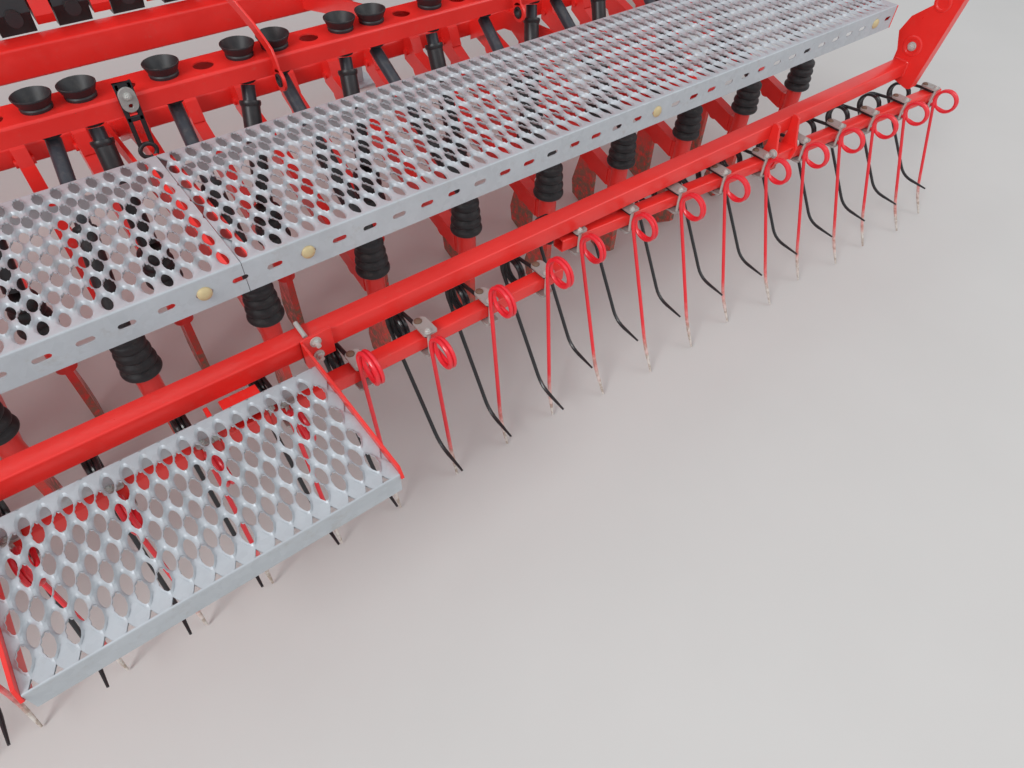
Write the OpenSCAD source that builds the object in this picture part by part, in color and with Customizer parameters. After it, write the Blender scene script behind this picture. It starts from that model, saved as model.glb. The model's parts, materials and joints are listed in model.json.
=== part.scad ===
// Mounted mechanical seed drill, 30 rows at 125 mm.
// X points right, Y points forward, Z points up, and Z = 0 is the ground.
// Places along Y are measured from the walkway's rear face, and seat() moves them to the part's own origin.

/* [Rows] */
// Number of rows sown
rows = 30; // [24:2:30]
// Distance between rows
row_pitch = 125; // [120:1:130]

/* [Main frame] */
// How far the beams reach past the rows at both ends together
beam_over = 20; // [0:1:60]
// Outer side of the rear beam's square section
rear_beam_s = 70; // [60:1:80]
// Outer side of the front beam's square section
front_beam_s = 90; // [80:1:100]
// Wall of the beams
beam_wall = 8; // [5:1:10]
// Rear face of the rear beam along Y
rear_beam_y = 1031; // [1020:1:1040]
// Top of the rear beam
rear_beam_z = 597; // [590:1:600]
// Rear face of the front beam along Y
front_beam_y = 1503; // [1490:1:1520]
// Top of the front beam
front_beam_z = 597; // [590:1:600]

/* [Hopper] */
// Depth of the hopper at its top
hopper_d = 600; // [560:5:620]
// Height of the hopper's bottom edge
hopper_z = 672; // [665:1:680]
// Height of the hopper's rim
hopper_top = 1290; // [1250:5:1350]
// Sheet of the hopper
hopper_t = 4; // [3:0.5:6]

/* [Walkway] */
// Length of one walkway plank
plank_l = 1752; // [1740:1:1760]
// Depth of the walkway
plank_w = 366; // [360:1:370]
// Height of the walkway's top
plank_z = 626; // [620:1:632]
// Height of the plank's folded edges
plank_h = 56; // [50:1:58]
// Sheet of the planks
plank_t = 3; // [2:0.5:4]
// Pitch of the slots along the rear edge
slot_pitch = 56; // [54:1:58]

/* [Harrow] */
// How far the cross tube stands out past its arms
harrow_stub = 120; // [100:1:140]
// Outer side of the harrow's cross tube
harrow_s = 40; // [34:1:42]
// Height of the cross tube's centre
harrow_z = 425; // [418:1:430]
// Outer side of a segment bar
bar_s = 30; // [25:1:32]
// Outer radius of a tine's coil
coil_r = 34; // [32:0.5:36]
// Thickness of the tine's wire
wire_d = 8.5; // [7:0.5:9]
// Pitch of the outer segments' tines
tine_pitch = 150; // [147:1:151]
// Pitch of the middle segment's tines
mid_tine_pitch = 142; // [140:1:144]

/* [Step] */
// Length of the step
step_l = 512; // [500:1:520]
// Middle of the step along X
step_x = -213; // [-220:1:-206]
// Depth of the step
step_w = 270; // [260:1:280]
// Height of the step's top
step_z = 436; // [432:1:440]

/* [Wheels] */
// Radius of the tyre
tyre_r = 330; // [320:1:340]
// Width of the tyre
tyre_w = 150; // [140:1:160]
// Gap between the end plate and the tyre
wheel_gap = 92; // [88:1:120]
// Place of the axle along Y
axle_y = 1243; // [1230:1:1260]

/* [Hitch] */
// Distance between the shoulders of the lower pins
hitch_w = 825; // [820:1:830]
// Radius of the lower pins
hitch_pin_r = 14; // [13:0.5:15]
// Height of the lower pins
hitch_z = 520; // [500:1:540]
// Height of the top link's bore above the lower pins
mast_h = 610; // [600:1:620]
// Radius of the top link's bore
top_bore_r = 12.75; // [12:0.25:14]

/* [Hidden] */
$fn = 48;
fit_gap = 0.3;
run_gap = 6;

red = "#c81e1a";
black = "#1c1c1e";
zinc = "#b9bec1";
rubber = "#161618";

hitch_pin_l = 120;
hitch_pin_y = front_beam_y + front_beam_s + 130;
step_front_y = -74;
step_rear_y = step_front_y - step_w;
front_most = hitch_pin_y + 50;
rear_most = step_rear_y - 4;
y_shift = -(front_most + rear_most) / 2;

beam_l = rows * row_pitch + beam_over;
side_x = beam_l / 2;
side_t = 8;
tyre_x = side_x + side_t + wheel_gap + tyre_w / 2;
rear_rank_y = 231;
front_rank_y = 460;
bellow_z = 342;
rail_y = 507;
rail_w = 90;
rail_top = 672;
rail_h = 34;
rail_l = beam_l - 2 * fit_gap;
funnel_y = 550;
funnel_pitch = 75;
funnel_n = 50;
coulter_beam_y = 863;
coulter_beam_z = 470;
coulter_beam_s = 45;

function row_x(i) = (i - (rows - 1) / 2) * row_pitch;
function is_rear(i) = i % 2 == 1;
function rank_y(i) = is_rear(i) ? rear_rank_y : front_rank_y;

module seat() { translate([0, y_shift, 0]) children(); }

// A box given by its low corner and its high corner.
module span(a, b) { translate(a) cube(b - a); }

// A cylinder along X between two places.
module rod_x(x0, x1, y, z, r) { translate([x0, y, z]) rotate([0, 90, 0]) cylinder(h = x1 - x0, r = r); }

// A cylinder along Y between two places.
module rod_y(y0, y1, x, z, r) { translate([x, y0, z]) rotate([-90, 0, 0]) cylinder(h = y1 - y0, r = r); }

// A round bar between two points.
module strut(a, b, r) {
    d = b - a;
    l = norm(d);
    translate(a) rotate([0, acos(d.z / l), atan2(d.y, d.x)]) cylinder(h = l, r = r);
}

// A plate that stands across X: a profile in Y and Z, pushed from x0 to x1.
module plate_x(x0, x1) { translate([x0, 0, 0]) rotate([90, 0, 90]) linear_extrude(x1 - x0) children(); }

module both_sides() {
    children();
    mirror([1, 0, 0]) children();
}

module square_tube_x(l, y, z, s, wall) {
    difference() {
        span([-l / 2, y, z - s], [l / 2, y + s, z]);
        span([-l / 2 - 1, y + wall, z - s + wall], [l / 2 + 1, y + s - wall, z - wall]);
    }
}

// Frame

module rear_beam() { color(red) seat() square_tube_x(beam_l, rear_beam_y, rear_beam_z, rear_beam_s,
    beam_wall); }

module front_beam() { color(red) seat() square_tube_x(beam_l, front_beam_y, front_beam_z, front_beam_s,
    beam_wall); }

rail_xs = [-1500, -500, 500, 1500];
rail_bar_w = 44;
rail_bar_h = 60;
rail_bar_t = 6;

// The four members that join the two beams.
module frame_rails() {
    color(red) seat() for (x = rail_xs)
        difference() {
            span([x - rail_bar_w / 2, rear_beam_y + rear_beam_s, rear_beam_z - rail_bar_h],
                [x + rail_bar_w / 2, front_beam_y, rear_beam_z]);
            span([x - rail_bar_w / 2 + rail_bar_t, rear_beam_y + rear_beam_s - 1,
                rear_beam_z - rail_bar_h + rail_bar_t],
                [x + rail_bar_w / 2 - rail_bar_t, front_beam_y + 1, rear_beam_z - rail_bar_t]);
        }
}

mast_x = 45;
mast_y = front_beam_y + front_beam_s;

// Three-point headstock: two lower pins in ears, and a clevis for the top link on an A-shaped mast.
module headstock() {
    top_z = hitch_z + mast_h;
    color(red) seat() {
        both_sides() {
            plate_x(hitch_w / 2 - 16, hitch_w / 2)
                polygon([[mast_y, front_beam_z], [mast_y + 60, front_beam_z + 10], [hitch_pin_y + 40,
                    hitch_z + 45],
                    [hitch_pin_y + 50, hitch_z - 20], [hitch_pin_y + 10, hitch_z - 50], [mast_y,
                        front_beam_z - front_beam_s]]);
            rod_x(hitch_w / 2 - 30, hitch_w / 2 + hitch_pin_l, hitch_pin_y, hitch_z, hitch_pin_r);
            plate_x(mast_x, mast_x + 14) difference() {
                polygon([[mast_y, front_beam_z - 20], [mast_y + 70, front_beam_z - 20], [hitch_pin_y - 5,
                    top_z - 30],
                    [hitch_pin_y + 12, top_z + 35], [hitch_pin_y - 45, top_z + 35], [mast_y,
                        front_beam_z + 120]]);
                translate([hitch_pin_y - 20, top_z]) circle(r = top_bore_r);
            }
        }
        for (x = [-hitch_w / 2 + 8, hitch_w / 2 - 8])
            strut([x, mast_y + 25, front_beam_z + 4], [sign(x) * (mast_x + 6), mast_y + 30, top_z - 60],
                16);
        span([-mast_x - 14, mast_y, front_beam_z - front_beam_s], [mast_x + 14, mast_y + 12,
            front_beam_z + 30]);
    }
}

shaft_y = 1263;
shaft_z = 650;
shaft_r = 12;
side_top = 720;
hopper_side_top = 930;

// End plates that carry the beams, the hopper, the rail and the harrow's pivots.
module side_frames() {
    color(red) seat() both_sides() {
        difference() {
            plate_x(side_x, side_x + side_t)
                polygon([[end_plate_y, rail_top - rail_h], [end_plate_y, rail_top + 20], [600, side_top],
                    [960, side_top],
                    [1040, hopper_side_top], [1500, hopper_side_top], [1590, side_top], [1660, side_top],
                        [1660, 500],
                    [1400, 440], [1000, 370], [coulter_beam_y, 365], [780, 420]]);
            rod_x(side_x - 1, side_x + side_t + 1, 860, 560, 45);
            rod_x(side_x - 1, side_x + side_t + 1, shaft_y, shaft_z, shaft_r + fit_gap);
        }
        rod_x(side_x + side_t, arm_x[1] + 8, pivot_y, pivot_z, pivot_r);
    }
}

// Hopper and lid

hopper_l = beam_l - 2 * fit_gap;
hopper_y = 963;
hopper_throat = [1123, 1223];
hopper_shoulder = 1010;
hinge_xs = [-1400, 0, 1400];
hinge_pin_r = 5;

function hopper_outline(t) = [
    [hopper_y + t, hopper_top + 1], [hopper_y + t, hopper_shoulder], [hopper_throat[0] + t * 1.4,
        hopper_z + (t > 0 ? t : 0)],
    [hopper_throat[1] - t * 1.4, hopper_z + (t > 0 ? t : 0)], [hopper_y + hopper_d - t, hopper_shoulder],
        [hopper_y + hopper_d - t, hopper_top + 1]];

// The seed hopper: upright upper walls, a sloping trough and closed ends, open at the top.
module hopper() {
    color(red) seat() difference() {
        union() {
            plate_x(-hopper_l / 2, hopper_l / 2) polygon(hopper_outline(0));
            for (y = [hopper_y - 14, hopper_y + hopper_d])
                span([-hopper_l / 2, y, hopper_top - 24], [hopper_l / 2, y + 14, hopper_top + 1]);
            for (x = hinge_xs) {
                for (dx = [-54, 42]) span([x + dx, hopper_y + hopper_d, hopper_top - 40], [x + dx + 12,
                    lid_hinge_y + 8, hopper_top]);
            }
        }
        plate_x(-hopper_l / 2 + hopper_t, hopper_l / 2 - hopper_t)
            polygon(concat([[hopper_y + hopper_t, hopper_top + 3]], [for (i = [1:4])
                hopper_outline(hopper_t)[i]],
                [[hopper_y + hopper_d - hopper_t, hopper_top + 3]]));
        span([-hopper_l / 2 - 1, hopper_y - 20, hopper_top], [hopper_l / 2 + 1, hopper_y + hopper_d + 20,
            hopper_top + 5]);
    }
    color(red) seat() for (x = hinge_xs) {
        for (dx = [-54, 42]) plate_x(x + dx, x + dx + 12) {
            translate([lid_hinge_y, lid_hinge_z]) circle(r = 9);
            translate([lid_hinge_y - 8, hopper_top]) square([16, lid_hinge_z - hopper_top]);
        }
        rod_x(x - 54, x + 54, lid_hinge_y, lid_hinge_z, hinge_pin_r);
    }
}

lid_hinge_y = hopper_y + hopper_d + 36;
lid_hinge_z = hopper_top + 22;
lid_t = 3;
lid_rise = 70;

// The lid: a low ridged cover with skirts, hinged along its front edge.
module hopper_lid() {
    z0 = hopper_top + run_gap;
    l = hopper_l / 2 + 12;
    y0 = hopper_y - 26;
    y1 = hopper_y + hopper_d + 20;
    color(red) seat() {
        difference() {
            plate_x(-l, l) polygon([[y0, z0 - 30], [y0, z0 + 20], [y0 + 90, z0 + lid_rise], [y1 - 90,
                z0 + lid_rise],
                [y1, z0 + 20], [y1, z0 + 2], [y1 - 10, z0]]);
            plate_x(-l + lid_t, l - lid_t)
                polygon([[y0 + lid_t, z0 - 31], [y0 + lid_t, z0 + 18], [y0 + 91, z0 + lid_rise - lid_t],
                    [y1 - 91, z0 + lid_rise - lid_t], [y1 - lid_t, z0 + 18], [y1 - lid_t, z0 - 1],
                        [y0 + 40, z0 - 31]]);
        }
        for (x = hinge_xs) difference() {
            plate_x(x - 40, x + 40) {
                translate([lid_hinge_y, lid_hinge_z]) circle(r = 9);
                polygon([[y1 - 1, z0 + 8], [lid_hinge_y, lid_hinge_z - 9], [lid_hinge_y, lid_hinge_z + 9],
                    [y1 - 1, z0 + 19]]);
            }
            rod_x(x - 41, x + 41, lid_hinge_y, lid_hinge_z, hinge_pin_r + 0.05);
        }
    }
}

module lid_handles() {
    color(black) seat() for (x = [-900, 900]) {
        span([x - 70, hopper_y - 60, hopper_top + 4], [x - 58, hopper_y - 26, hopper_top + 16]);
        span([x + 58, hopper_y - 60, hopper_top + 4], [x + 70, hopper_y - 26, hopper_top + 16]);
        rod_x(x - 70, x + 70, hopper_y - 60, hopper_top + 10, 9);
    }
}

// Metering

meter_z = 585;
meter_y = [1115, 1231];

// One black housing under the hopper for each row, with a round boss on its rear face.
module metering_housings() {
    color(black) seat() for (i = [0:rows - 1]) {
        x = row_x(i);
        plate_x(x - 38, x + 38)
            polygon([[meter_y[0] + 10, hopper_z - fit_gap], [meter_y[0], meter_z + 50], [meter_y[0] + 24,
                meter_z],
                [meter_y[0] + 60, meter_z], [meter_y[1] - 10, meter_z + 30], [meter_y[1],
                    hopper_z - fit_gap]]);
        rod_y(meter_y[0] - 18, meter_y[0] + 20, x, meter_z + 45, 17);
    }
}

// The red sheets between the housings.
module metering_gates() {
    color(red) seat() for (i = [0:rows - 2]) {
        x = row_x(i) + row_pitch / 2;
        plate_x(x - 20, x + 20)
            polygon([[meter_y[0] + 8, hopper_z - fit_gap], [meter_y[0] - 6, meter_z + 40], [meter_y[0],
                meter_z + 20],
                [meter_y[0] + 60, meter_z + 30], [meter_y[1] - 20, hopper_z - fit_gap]]);
    }
}

module metering_shaft() {
    color(zinc) seat() {
        rod_x(-side_x - 30, side_x - fit_gap, shaft_y, shaft_z, shaft_r);
        for (i = [0:4:rows - 1]) rod_x(row_x(i) - 12, row_x(i) + 12, shaft_y, shaft_z, 20);
    }
}

// Variable gearbox of the seed drive, on the left end plate.
module gearbox() {
    x0 = -side_x - side_t - 110;
    color(black) seat() {
        plate_x(x0, -side_x - side_t - fit_gap)
            polygon([[1300, 690], [1440, 690], [1470, 730], [1470, 870], [1430, 910], [1310, 910], [1285,
                870], [1285, 730]]);
        rod_x(x0 - 24, x0, 1377, 800, 55);
        span([x0 - 12, 1370, 800], [x0 - 4, 1384, 930]);
    }
}

// Funnel rail

rail_t = 3;

// Folded rail with a row of holes.
module funnel_rail() {
    color(red) seat() difference() {
        span([-rail_l / 2, rail_y, rail_top - rail_h], [rail_l / 2, rail_y + rail_w, rail_top]);
        span([-rail_l / 2 - 1, rail_y + rail_t, rail_top - rail_h - 1], [rail_l / 2 + 1,
            rail_y + rail_w - rail_t, rail_top - rail_t]);
        for (k = [0:funnel_n - 1])
            translate([funnel_x(k), funnel_y, rail_top - rail_h]) cylinder(h = rail_h + 1, r = 20,
                $fn = 24);
    }
}

funnel_x0 = 22;
function funnel_x(k) = funnel_x0 + (k - funnel_n / 2) * funnel_pitch;
// Each third row repeats its funnel's place; one funnel hangs a hole nearer.
shifts = [34.5, 59.5, 9.5];
near_row = 19;
function funnel_of(i) = row_x(i) + shifts[i % 3] - (i == near_row ? funnel_pitch : 0);

post_xs = [600, side_x - 25];

// Struts that carry the rail from the rear beam.
module rail_posts() {
    y = rail_y + rail_w + fit_gap;
    color(red) seat() both_sides() for (x = post_xs)
        plate_x(x - 4, x + 4)
            polygon([[y, rail_top - 2], [y, rail_top - rail_h], [rear_beam_y, rear_beam_z - 60],
                [rear_beam_y, rear_beam_z - 10]]);
}

neck_r = 19.5;

// Rubber funnels that hang in the rail's holes.
module funnels() {
    color(rubber) seat() for (i = [0:rows - 1])
        translate([funnel_of(i), funnel_y, 0]) rotate_extrude($fn = 24)
            polygon([[6, rail_top - 50], [neck_r - 0.2, rail_top - 50], [neck_r - 0.2, rail_top + 1],
                [33.5, rail_top + 14],
                [33.5, rail_top + 26], [30.5, rail_top + 26], [30.5, rail_top + 16], [neck_r - 3,
                    rail_top + 2],
                [neck_r - 3, rail_top - 44], [6, rail_top - 44]]);
}

hook_xs = [295, 905];

hook_r = 22;

// Lugs that reach over the rail between two funnels and end in a bushed eye behind it.
module rail_hooks() {
    y = rail_y - hook_r - 1;
    z = rail_top - rail_h - 3;
    color(red) seat() for (x = hook_xs) {
        difference() {
            union() {
                rod_x(x - 5, x + 5, y, z, hook_r);
                span([x - 5, rail_y - 14, z], [x, rail_y - fit_gap, rail_top + 8]);
            }
            rod_x(x - 6, x + 6, y, z, 10);
        }
        strut([x - 3, rail_y - 6, rail_top + 6], [x - 11, funnel_y, rail_top + 40], 5, $fn = 8);
        strut([x - 11, funnel_y, rail_top + 40], [x - 33, rail_y + rail_w + 10, rail_top + 100], 5,
            $fn = 8);
    }
}

// Rubber toggle strap with its galvanised plate.
module rubber_strap() {
    color(zinc) seat() {
        span([-3, rail_y - 12, rail_top - 26], [27, rail_y - 6, rail_top + 20]);
        rod_y(rail_y - 18, rail_y - 12, 12, rail_top, 8);
    }
    color(rubber) seat() for (x = [-3, 19])
        span([x, rail_y - 6, rail_top - 110], [x + 8, rail_y - fit_gap, rail_top + 26]);
}

// Seed tubes

tube_r = 14;
sleeve_r = 19;
neck_z = rail_top - 50;
foot_z = bellow_z + 48;
sleeve_l = 205;

function run(i) = norm([funnel_of(i) - row_x(i), funnel_y - rank_y(i)]);
function steep(i, h) = run(i) / norm([run(i), h]);
// Sine of a tube's angle from upright, worked out in two steps because its ends stand off by their radii.
function lean(i) = steep(i, neck_z - foot_z - (tube_r + sleeve_r) * steep(i,
    neck_z - foot_z - tube_r - sleeve_r));
function tube_top(i) = [funnel_of(i), funnel_y, neck_z - fit_gap - tube_r * lean(i)];
function tube_foot(i) = [row_x(i), rank_y(i), foot_z + fit_gap + sleeve_r * lean(i)];
// The point of a tube's middle line that lies l above its foot.
function above_foot(i, l) = tube_foot(i) + (tube_top(i) - tube_foot(i)) * l / norm(tube_top(i) - tube_foot(i));

// Upper tubes, which slide in the sleeves.
module seed_tubes() {
    color("#3a4048") seat() for (i = [0:rows - 1])
        strut(tube_top(i), above_foot(i, sleeve_l - 30), tube_r);
}

// Lower sleeves, which stand on the bellows.
module seed_sleeves() {
    color("#2a2c30") seat() for (i = [0:rows - 1])
        difference() {
            strut(above_foot(i, sleeve_l), tube_foot(i), sleeve_r);
            strut(above_foot(i, sleeve_l + 5), above_foot(i, sleeve_l - 40), tube_r + 0.5);
        }
}

// Coulters

module coulter_beam() { color(red) seat() square_tube_x(beam_l, coulter_beam_y, coulter_beam_z,
    coulter_beam_s, 6); }

arm_w = 30;

// Pressed channel arms with a stepped lower edge.
module coulter_arms() {
    color(red) seat() for (i = [0:rows - 1]) {
        x = row_x(i);
        y = rank_y(i);
        n = is_rear(i) ? 5 : 3;
        y1 = coulter_beam_y - fit_gap;
        l = y1 - y - 30;
        difference() {
            plate_x(x - arm_w / 2, x + arm_w / 2) {
                polygon([[y1, coulter_beam_z - 5], [y1, coulter_beam_z - 55], [y + 30, bellow_z - 112],
                    [y + 30, bellow_z - 62]]);
                polygon([[y1, coulter_beam_z - 20], [y1 - 60, coulter_beam_z - 32], [y1 - 40,
                    coulter_beam_z + 12],
                    [y1 + 10, coulter_beam_z + 40], [y1 + coulter_beam_s + 8, coulter_beam_z + 44],
                    [y1 + coulter_beam_s + 8, coulter_beam_z + fit_gap], [y1, coulter_beam_z + fit_gap]]);
                for (k = [0:n - 1])
                    translate([y1 - (k + 0.5) * l / n,
                        coulter_beam_z - 50 - (k + 0.5) * (coulter_beam_z - bellow_z + 50) / n])
                        circle(r = 17, $fn = 24);
            }
            plate_x(x - arm_w / 2 + 4, x + arm_w / 2 - 4)
                polygon([[y1 + 1, coulter_beam_z - 11], [y1 + 1, coulter_beam_z - 90], [y + 29,
                    bellow_z - 140], [y + 29, bellow_z - 68]]);
        }
        rod_x(x - arm_w / 2 - 6, x + arm_w / 2 + 6, y1 - 14, coulter_beam_z - 30, 9);
    }
}

// The boot under each bellows, with its share.
module coulter_boots() {
    color(red) seat() for (i = [0:rows - 1]) {
        x = row_x(i);
        y = rank_y(i);
        translate([x, y, bellow_z - 150]) cylinder(h = 110 - fit_gap, r = 22);
        span([x - 13, y + 10, bellow_z - 112], [x + 13, y + 30 - fit_gap, bellow_z - 63]);
        plate_x(x - 8, x + 8) polygon([[y + 28, bellow_z - 72], [y + 28, bellow_z - 125], [y + 70, 60],
            [y + 62, 14],
            [y + 24, 0], [y - 20, 30], [y - 20, bellow_z - 145], [y - 14, bellow_z - 60]]);
    }
}

// Concertina sleeves between tube and boot.
module bellows() {
    n = 4;
    h = 88;
    color(rubber) seat() for (i = [0:rows - 1])
        translate([row_x(i), rank_y(i), bellow_z - 40]) rotate_extrude()
            polygon(concat([[4, h], [4, h - 4], [14.5, h - 4], [14.5, 0]],
                [for (k = [0:n - 1]) each [[27, h * k / n], [38, h * (k + 0.35) / n], [38,
                    h * (k + 0.6) / n], [27, h * (k + 0.95) / n]]],
                [[20, h]]));
}

// Gratings

hole_pitch_y = 60;
hole_l = 46;
hole_w = 34;

// Corners of one long hole round a centre.
function hole_points(c) = [for (p = [[0.2, 1], [1, 0.3], [1, -0.3], [0.2, -1], [-0.2, -1], [-1, -0.3],
    [-1, 0.3], [-0.2, 1]])
    [c.x + p.x * hole_w / 2, c.y + p.y * hole_l / 2]];

// A flat bay of a plank with its own rows of holes.
module bay(nx, ny, my, w) {
    l = nx * slot_pitch;
    centres = [for (i = [0:nx - 1]) for (j = [0:ny - 1]) [(i + 0.5) * slot_pitch,
        my + (j + 0.5) * hole_pitch_y]];
    n = 8;
    linear_extrude(plank_t)
        polygon(points = concat([[0, 0], [l, 0], [l, w], [0, w]], [for (c = centres) each hole_points(c)]),
            paths = concat([[0, 1, 2, 3]],
                [for (k = [0:len(centres) - 1]) [for (q = [0:n - 1]) 4 + k * n + q]]));
}

bay_n = 4;

// A perforated plank folded down at both long edges; x0 is its left end, and its rear edge lies at y = 0.
module plank(x0, l, w, h) {
    nx = floor(l / slot_pitch);
    ny = floor((w - 20) / hole_pitch_y);
    mx = (l - nx * slot_pitch) / 2;
    my = (w - ny * hole_pitch_y) / 2;
    translate([x0 + mx, 0, -plank_t])
        for (k = [0:bay_n:nx - 1]) translate([k * slot_pitch, 0, 0]) bay(min(bay_n, nx - k), ny, my, w);
    for (x = [x0, x0 + l - mx]) span([x, 0, -plank_t], [x + mx, w, 0]);
    for (y = [0, w - plank_t]) span([x0, y, -h], [x0 + l, y + plank_t, -plank_t]);
}

module walkway_left() { color(zinc) seat() translate([0, 0, plank_z]) plank(-plank_l, plank_l - 0.5,
    plank_w, plank_h); }

module walkway_right() { color(zinc) seat() translate([0, 0, plank_z]) plank(0.5, plank_l - 0.5, plank_w,
    plank_h); }

bracket_xs = [-990, -20, 20, 1030];
end_plate_y = 470;

// Arms that carry the walkway from the coulter beam, and plates from its ends to the side frames.
module walkway_brackets() {
    z = plank_z - plank_h;
    zt = plank_z - plank_t - fit_gap;
    y1 = plank_w - plank_t - fit_gap;
    xe = plank_l + fit_gap;
    color(red) seat() {
        for (x = bracket_xs)
            plate_x(x - 4, x + 4) polygon([[plank_t + fit_gap, zt], [plank_t + fit_gap, z + 6],
                [plank_w - plank_t, z - 24],
                [700, coulter_beam_z + 30], [coulter_beam_y, coulter_beam_z - 55], [coulter_beam_y,
                    coulter_beam_z - 5],
                [700, coulter_beam_z + 76], [plank_w + 24, z - 5], [y1, z - 5], [y1, zt]]);
        both_sides() {
            plate_x(xe, xe + 5) polygon([[0, z], [0, plank_z - 2], [plank_w, plank_z - 2], [end_plate_y,
                688], [end_plate_y, 645], [plank_w, z]]);
            span([xe, end_plate_y - 8, 645], [side_x + side_t, end_plate_y - fit_gap, 688]);
        }
    }
}

// Wheels

wheel_arm_top = shaft_z - shaft_r - run_gap;

// The axle arm inside each wheel.
module wheel_arms() {
    color(red) seat() both_sides() {
        difference() {
            plate_x(side_x + side_t, side_x + side_t + 16)
                polygon([[axle_y - 50, tyre_r - 30], [axle_y + 50, tyre_r - 30], [axle_y + 120,
                    wheel_arm_top], [axle_y - 120, wheel_arm_top]]);
            rod_x(side_x, side_x + side_t + 20, axle_y, tyre_r, 20 + 0.05);
        }
        rod_x(side_x + side_t + fit_gap, tyre_x + 30, axle_y, tyre_r, 20);
    }
}

rim_r = 195;

module rim(x) {
    translate([x, axle_y, tyre_r]) rotate([0, 90, 0]) {
        difference() {
            rotate_extrude() polygon([[rim_r - 6, -62], [rim_r, -62], [rim_r, -50], [rim_r - 14, -44],
                [rim_r - 14, 44],
                [rim_r, 50], [rim_r, 62], [rim_r - 6, 62], [rim_r - 20, 48], [rim_r - 20, -6], [110, -18],
                    [60, -18], [60, 20],
                [20.05, 20], [20.05, -42], [60, -42], [60, -26], [112, -26], [rim_r - 20, -12],
                    [rim_r - 20, -48]]);
            for (a = [0:60:300]) rotate([0, 0, a]) translate([150, 0, -30]) cylinder(h = 40, r = 15);
        }
    }
}

module rim_left() { color("#d8d8d4") seat() mirror([1, 0, 0]) rim(tyre_x); }

module rim_right() { color("#d8d8d4") seat() rim(tyre_x); }

module tyre(x) {
    w = tyre_w / 2;
    r = tyre_r;
    translate([x, axle_y, r]) rotate([0, 90, 0]) rotate_extrude($fn = 72)
        polygon([[rim_r + 0.2, -50], [rim_r + 4, -64], [r - 60, -w], [r - 24, -w + 4], [r - 6, -w + 22],
            [r, -w + 40],
            [r, w - 40], [r - 6, w - 22], [r - 24, w - 4], [r - 60, w], [rim_r + 4, 64], [rim_r + 0.2,
                50]]);
}

module tyre_left() { color(rubber) seat() mirror([1, 0, 0]) tyre(tyre_x); }

module tyre_right() { color(rubber) seat() tyre(tyre_x); }

// Parking stands

stand_x = 1000;
stand_y = front_beam_y + front_beam_s + 26;

// Square sleeves on the front beam, in which the stands slide.
module stand_sleeves() {
    color(red) seat() for (x = [-stand_x, stand_x]) difference() {
        span([x - 26, stand_y - 26, 460], [x + 26, stand_y + 26, 625]);
        span([x - 20.5, stand_y - 20.5, 459], [x + 20.5, stand_y + 20.5, 626]);
    }
}

module stand(x) {
    difference() {
        span([x - 20, stand_y - 20, 8], [x + 20, stand_y + 20, 640]);
        span([x - 16, stand_y - 16, 9], [x + 16, stand_y + 16, 641]);
    }
    span([x - 60, stand_y - 60, 0], [x + 60, stand_y + 60, 8]);
}

module stand_left() { color(zinc) seat() stand(-stand_x); }

module stand_right() { color(zinc) seat() stand(stand_x); }

// Harrow

pivot_y = 703;
pivot_z = 650;
pivot_r = 20;
arm_t = 12;
arm_gap = 27;
arm_x = [side_x + side_t + arm_gap, side_x + side_t + arm_gap + arm_t];

// Plates that reach from the cross tube over to the pivots on the side frames.
module harrow_arms() {
    hole = harrow_s / 2 + fit_gap;
    color(red) seat() both_sides() difference() {
        union() {
            plate_x(arm_x[0], arm_x[1])
                polygon([[-54, harrow_z - 43], [-38, harrow_z - 46], [27, harrow_z - 28], [27,
                    harrow_z + 40],
                    [44, harrow_z + 86], [27, harrow_z + 130], [-30, harrow_z + 184], [-62, harrow_z + 230],
                    [-20, harrow_z + 286], [pivot_y - 60, pivot_z - 10], [pivot_y, pivot_z - 34],
                    [pivot_y + 34, pivot_z], [pivot_y, pivot_z + 34], [pivot_y - 60, pivot_z + 50],
                    [-20, harrow_z + 345], [-96, harrow_z + 320], [-104, harrow_z + 270], [-86,
                        harrow_z + 200],
                    [-64, harrow_z + 30]]);
            rod_x(arm_x[1], arm_x[1] + 6, -10, harrow_z + 60, 22);
        }
        rod_x(arm_x[0] - 1, arm_x[1] + 1, pivot_y, pivot_z, pivot_r + 0.05);
        span([arm_x[0] - 1, -hole, harrow_z - hole], [arm_x[1] + 1, hole, harrow_z + hole]);
    }
}

module harrow_tube() { color(red) seat() square_tube_x(2 * (arm_x[1] + harrow_stub), -harrow_s / 2,
    harrow_z + harrow_s / 2, harrow_s, 4); }

step_h = 40;

module step_plank() { color(zinc) seat() translate([0, step_rear_y, step_z]) plank(step_x - step_l / 2,
    step_l, step_w, step_h); }

// Side plates that carry the step from the cross tube.
module step_sides() {
    t = 5;
    color(red) seat() for (s = [-1, 1]) {
        x = step_x + s * (step_l / 2 + fit_gap);
        plate_x(s < 0 ? x - t : x, s < 0 ? x : x + t)
            polygon([[step_rear_y - 4, step_z - 8], [step_rear_y + 6, step_z + 10],
                [-harrow_s / 2 - fit_gap, step_z + 12],
                [-harrow_s / 2 - fit_gap, harrow_z - 30], [step_front_y, step_z - step_h - 4],
                [step_rear_y + 30, step_z - step_h - 4]]);
        span([s < 0 ? x : x - 50, -harrow_s / 2 - 6 - fit_gap, harrow_z - 22], [s < 0 ? x + 50 : x,
            -harrow_s / 2 - fit_gap, harrow_z + 22]);
    }
}

// Tines of a middle and of an outer segment, how far a bar runs past its end tines, and the gap between
// two bars.
mid_n = 9;
outer_n = 10;
bar_end = 45;
seg_gap = 29;
mid_x = -18;
outer_x = ((mid_n - 1) * mid_tine_pitch + (outer_n - 1) * tine_pitch) / 2 + 2 * bar_end + seg_gap;

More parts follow.
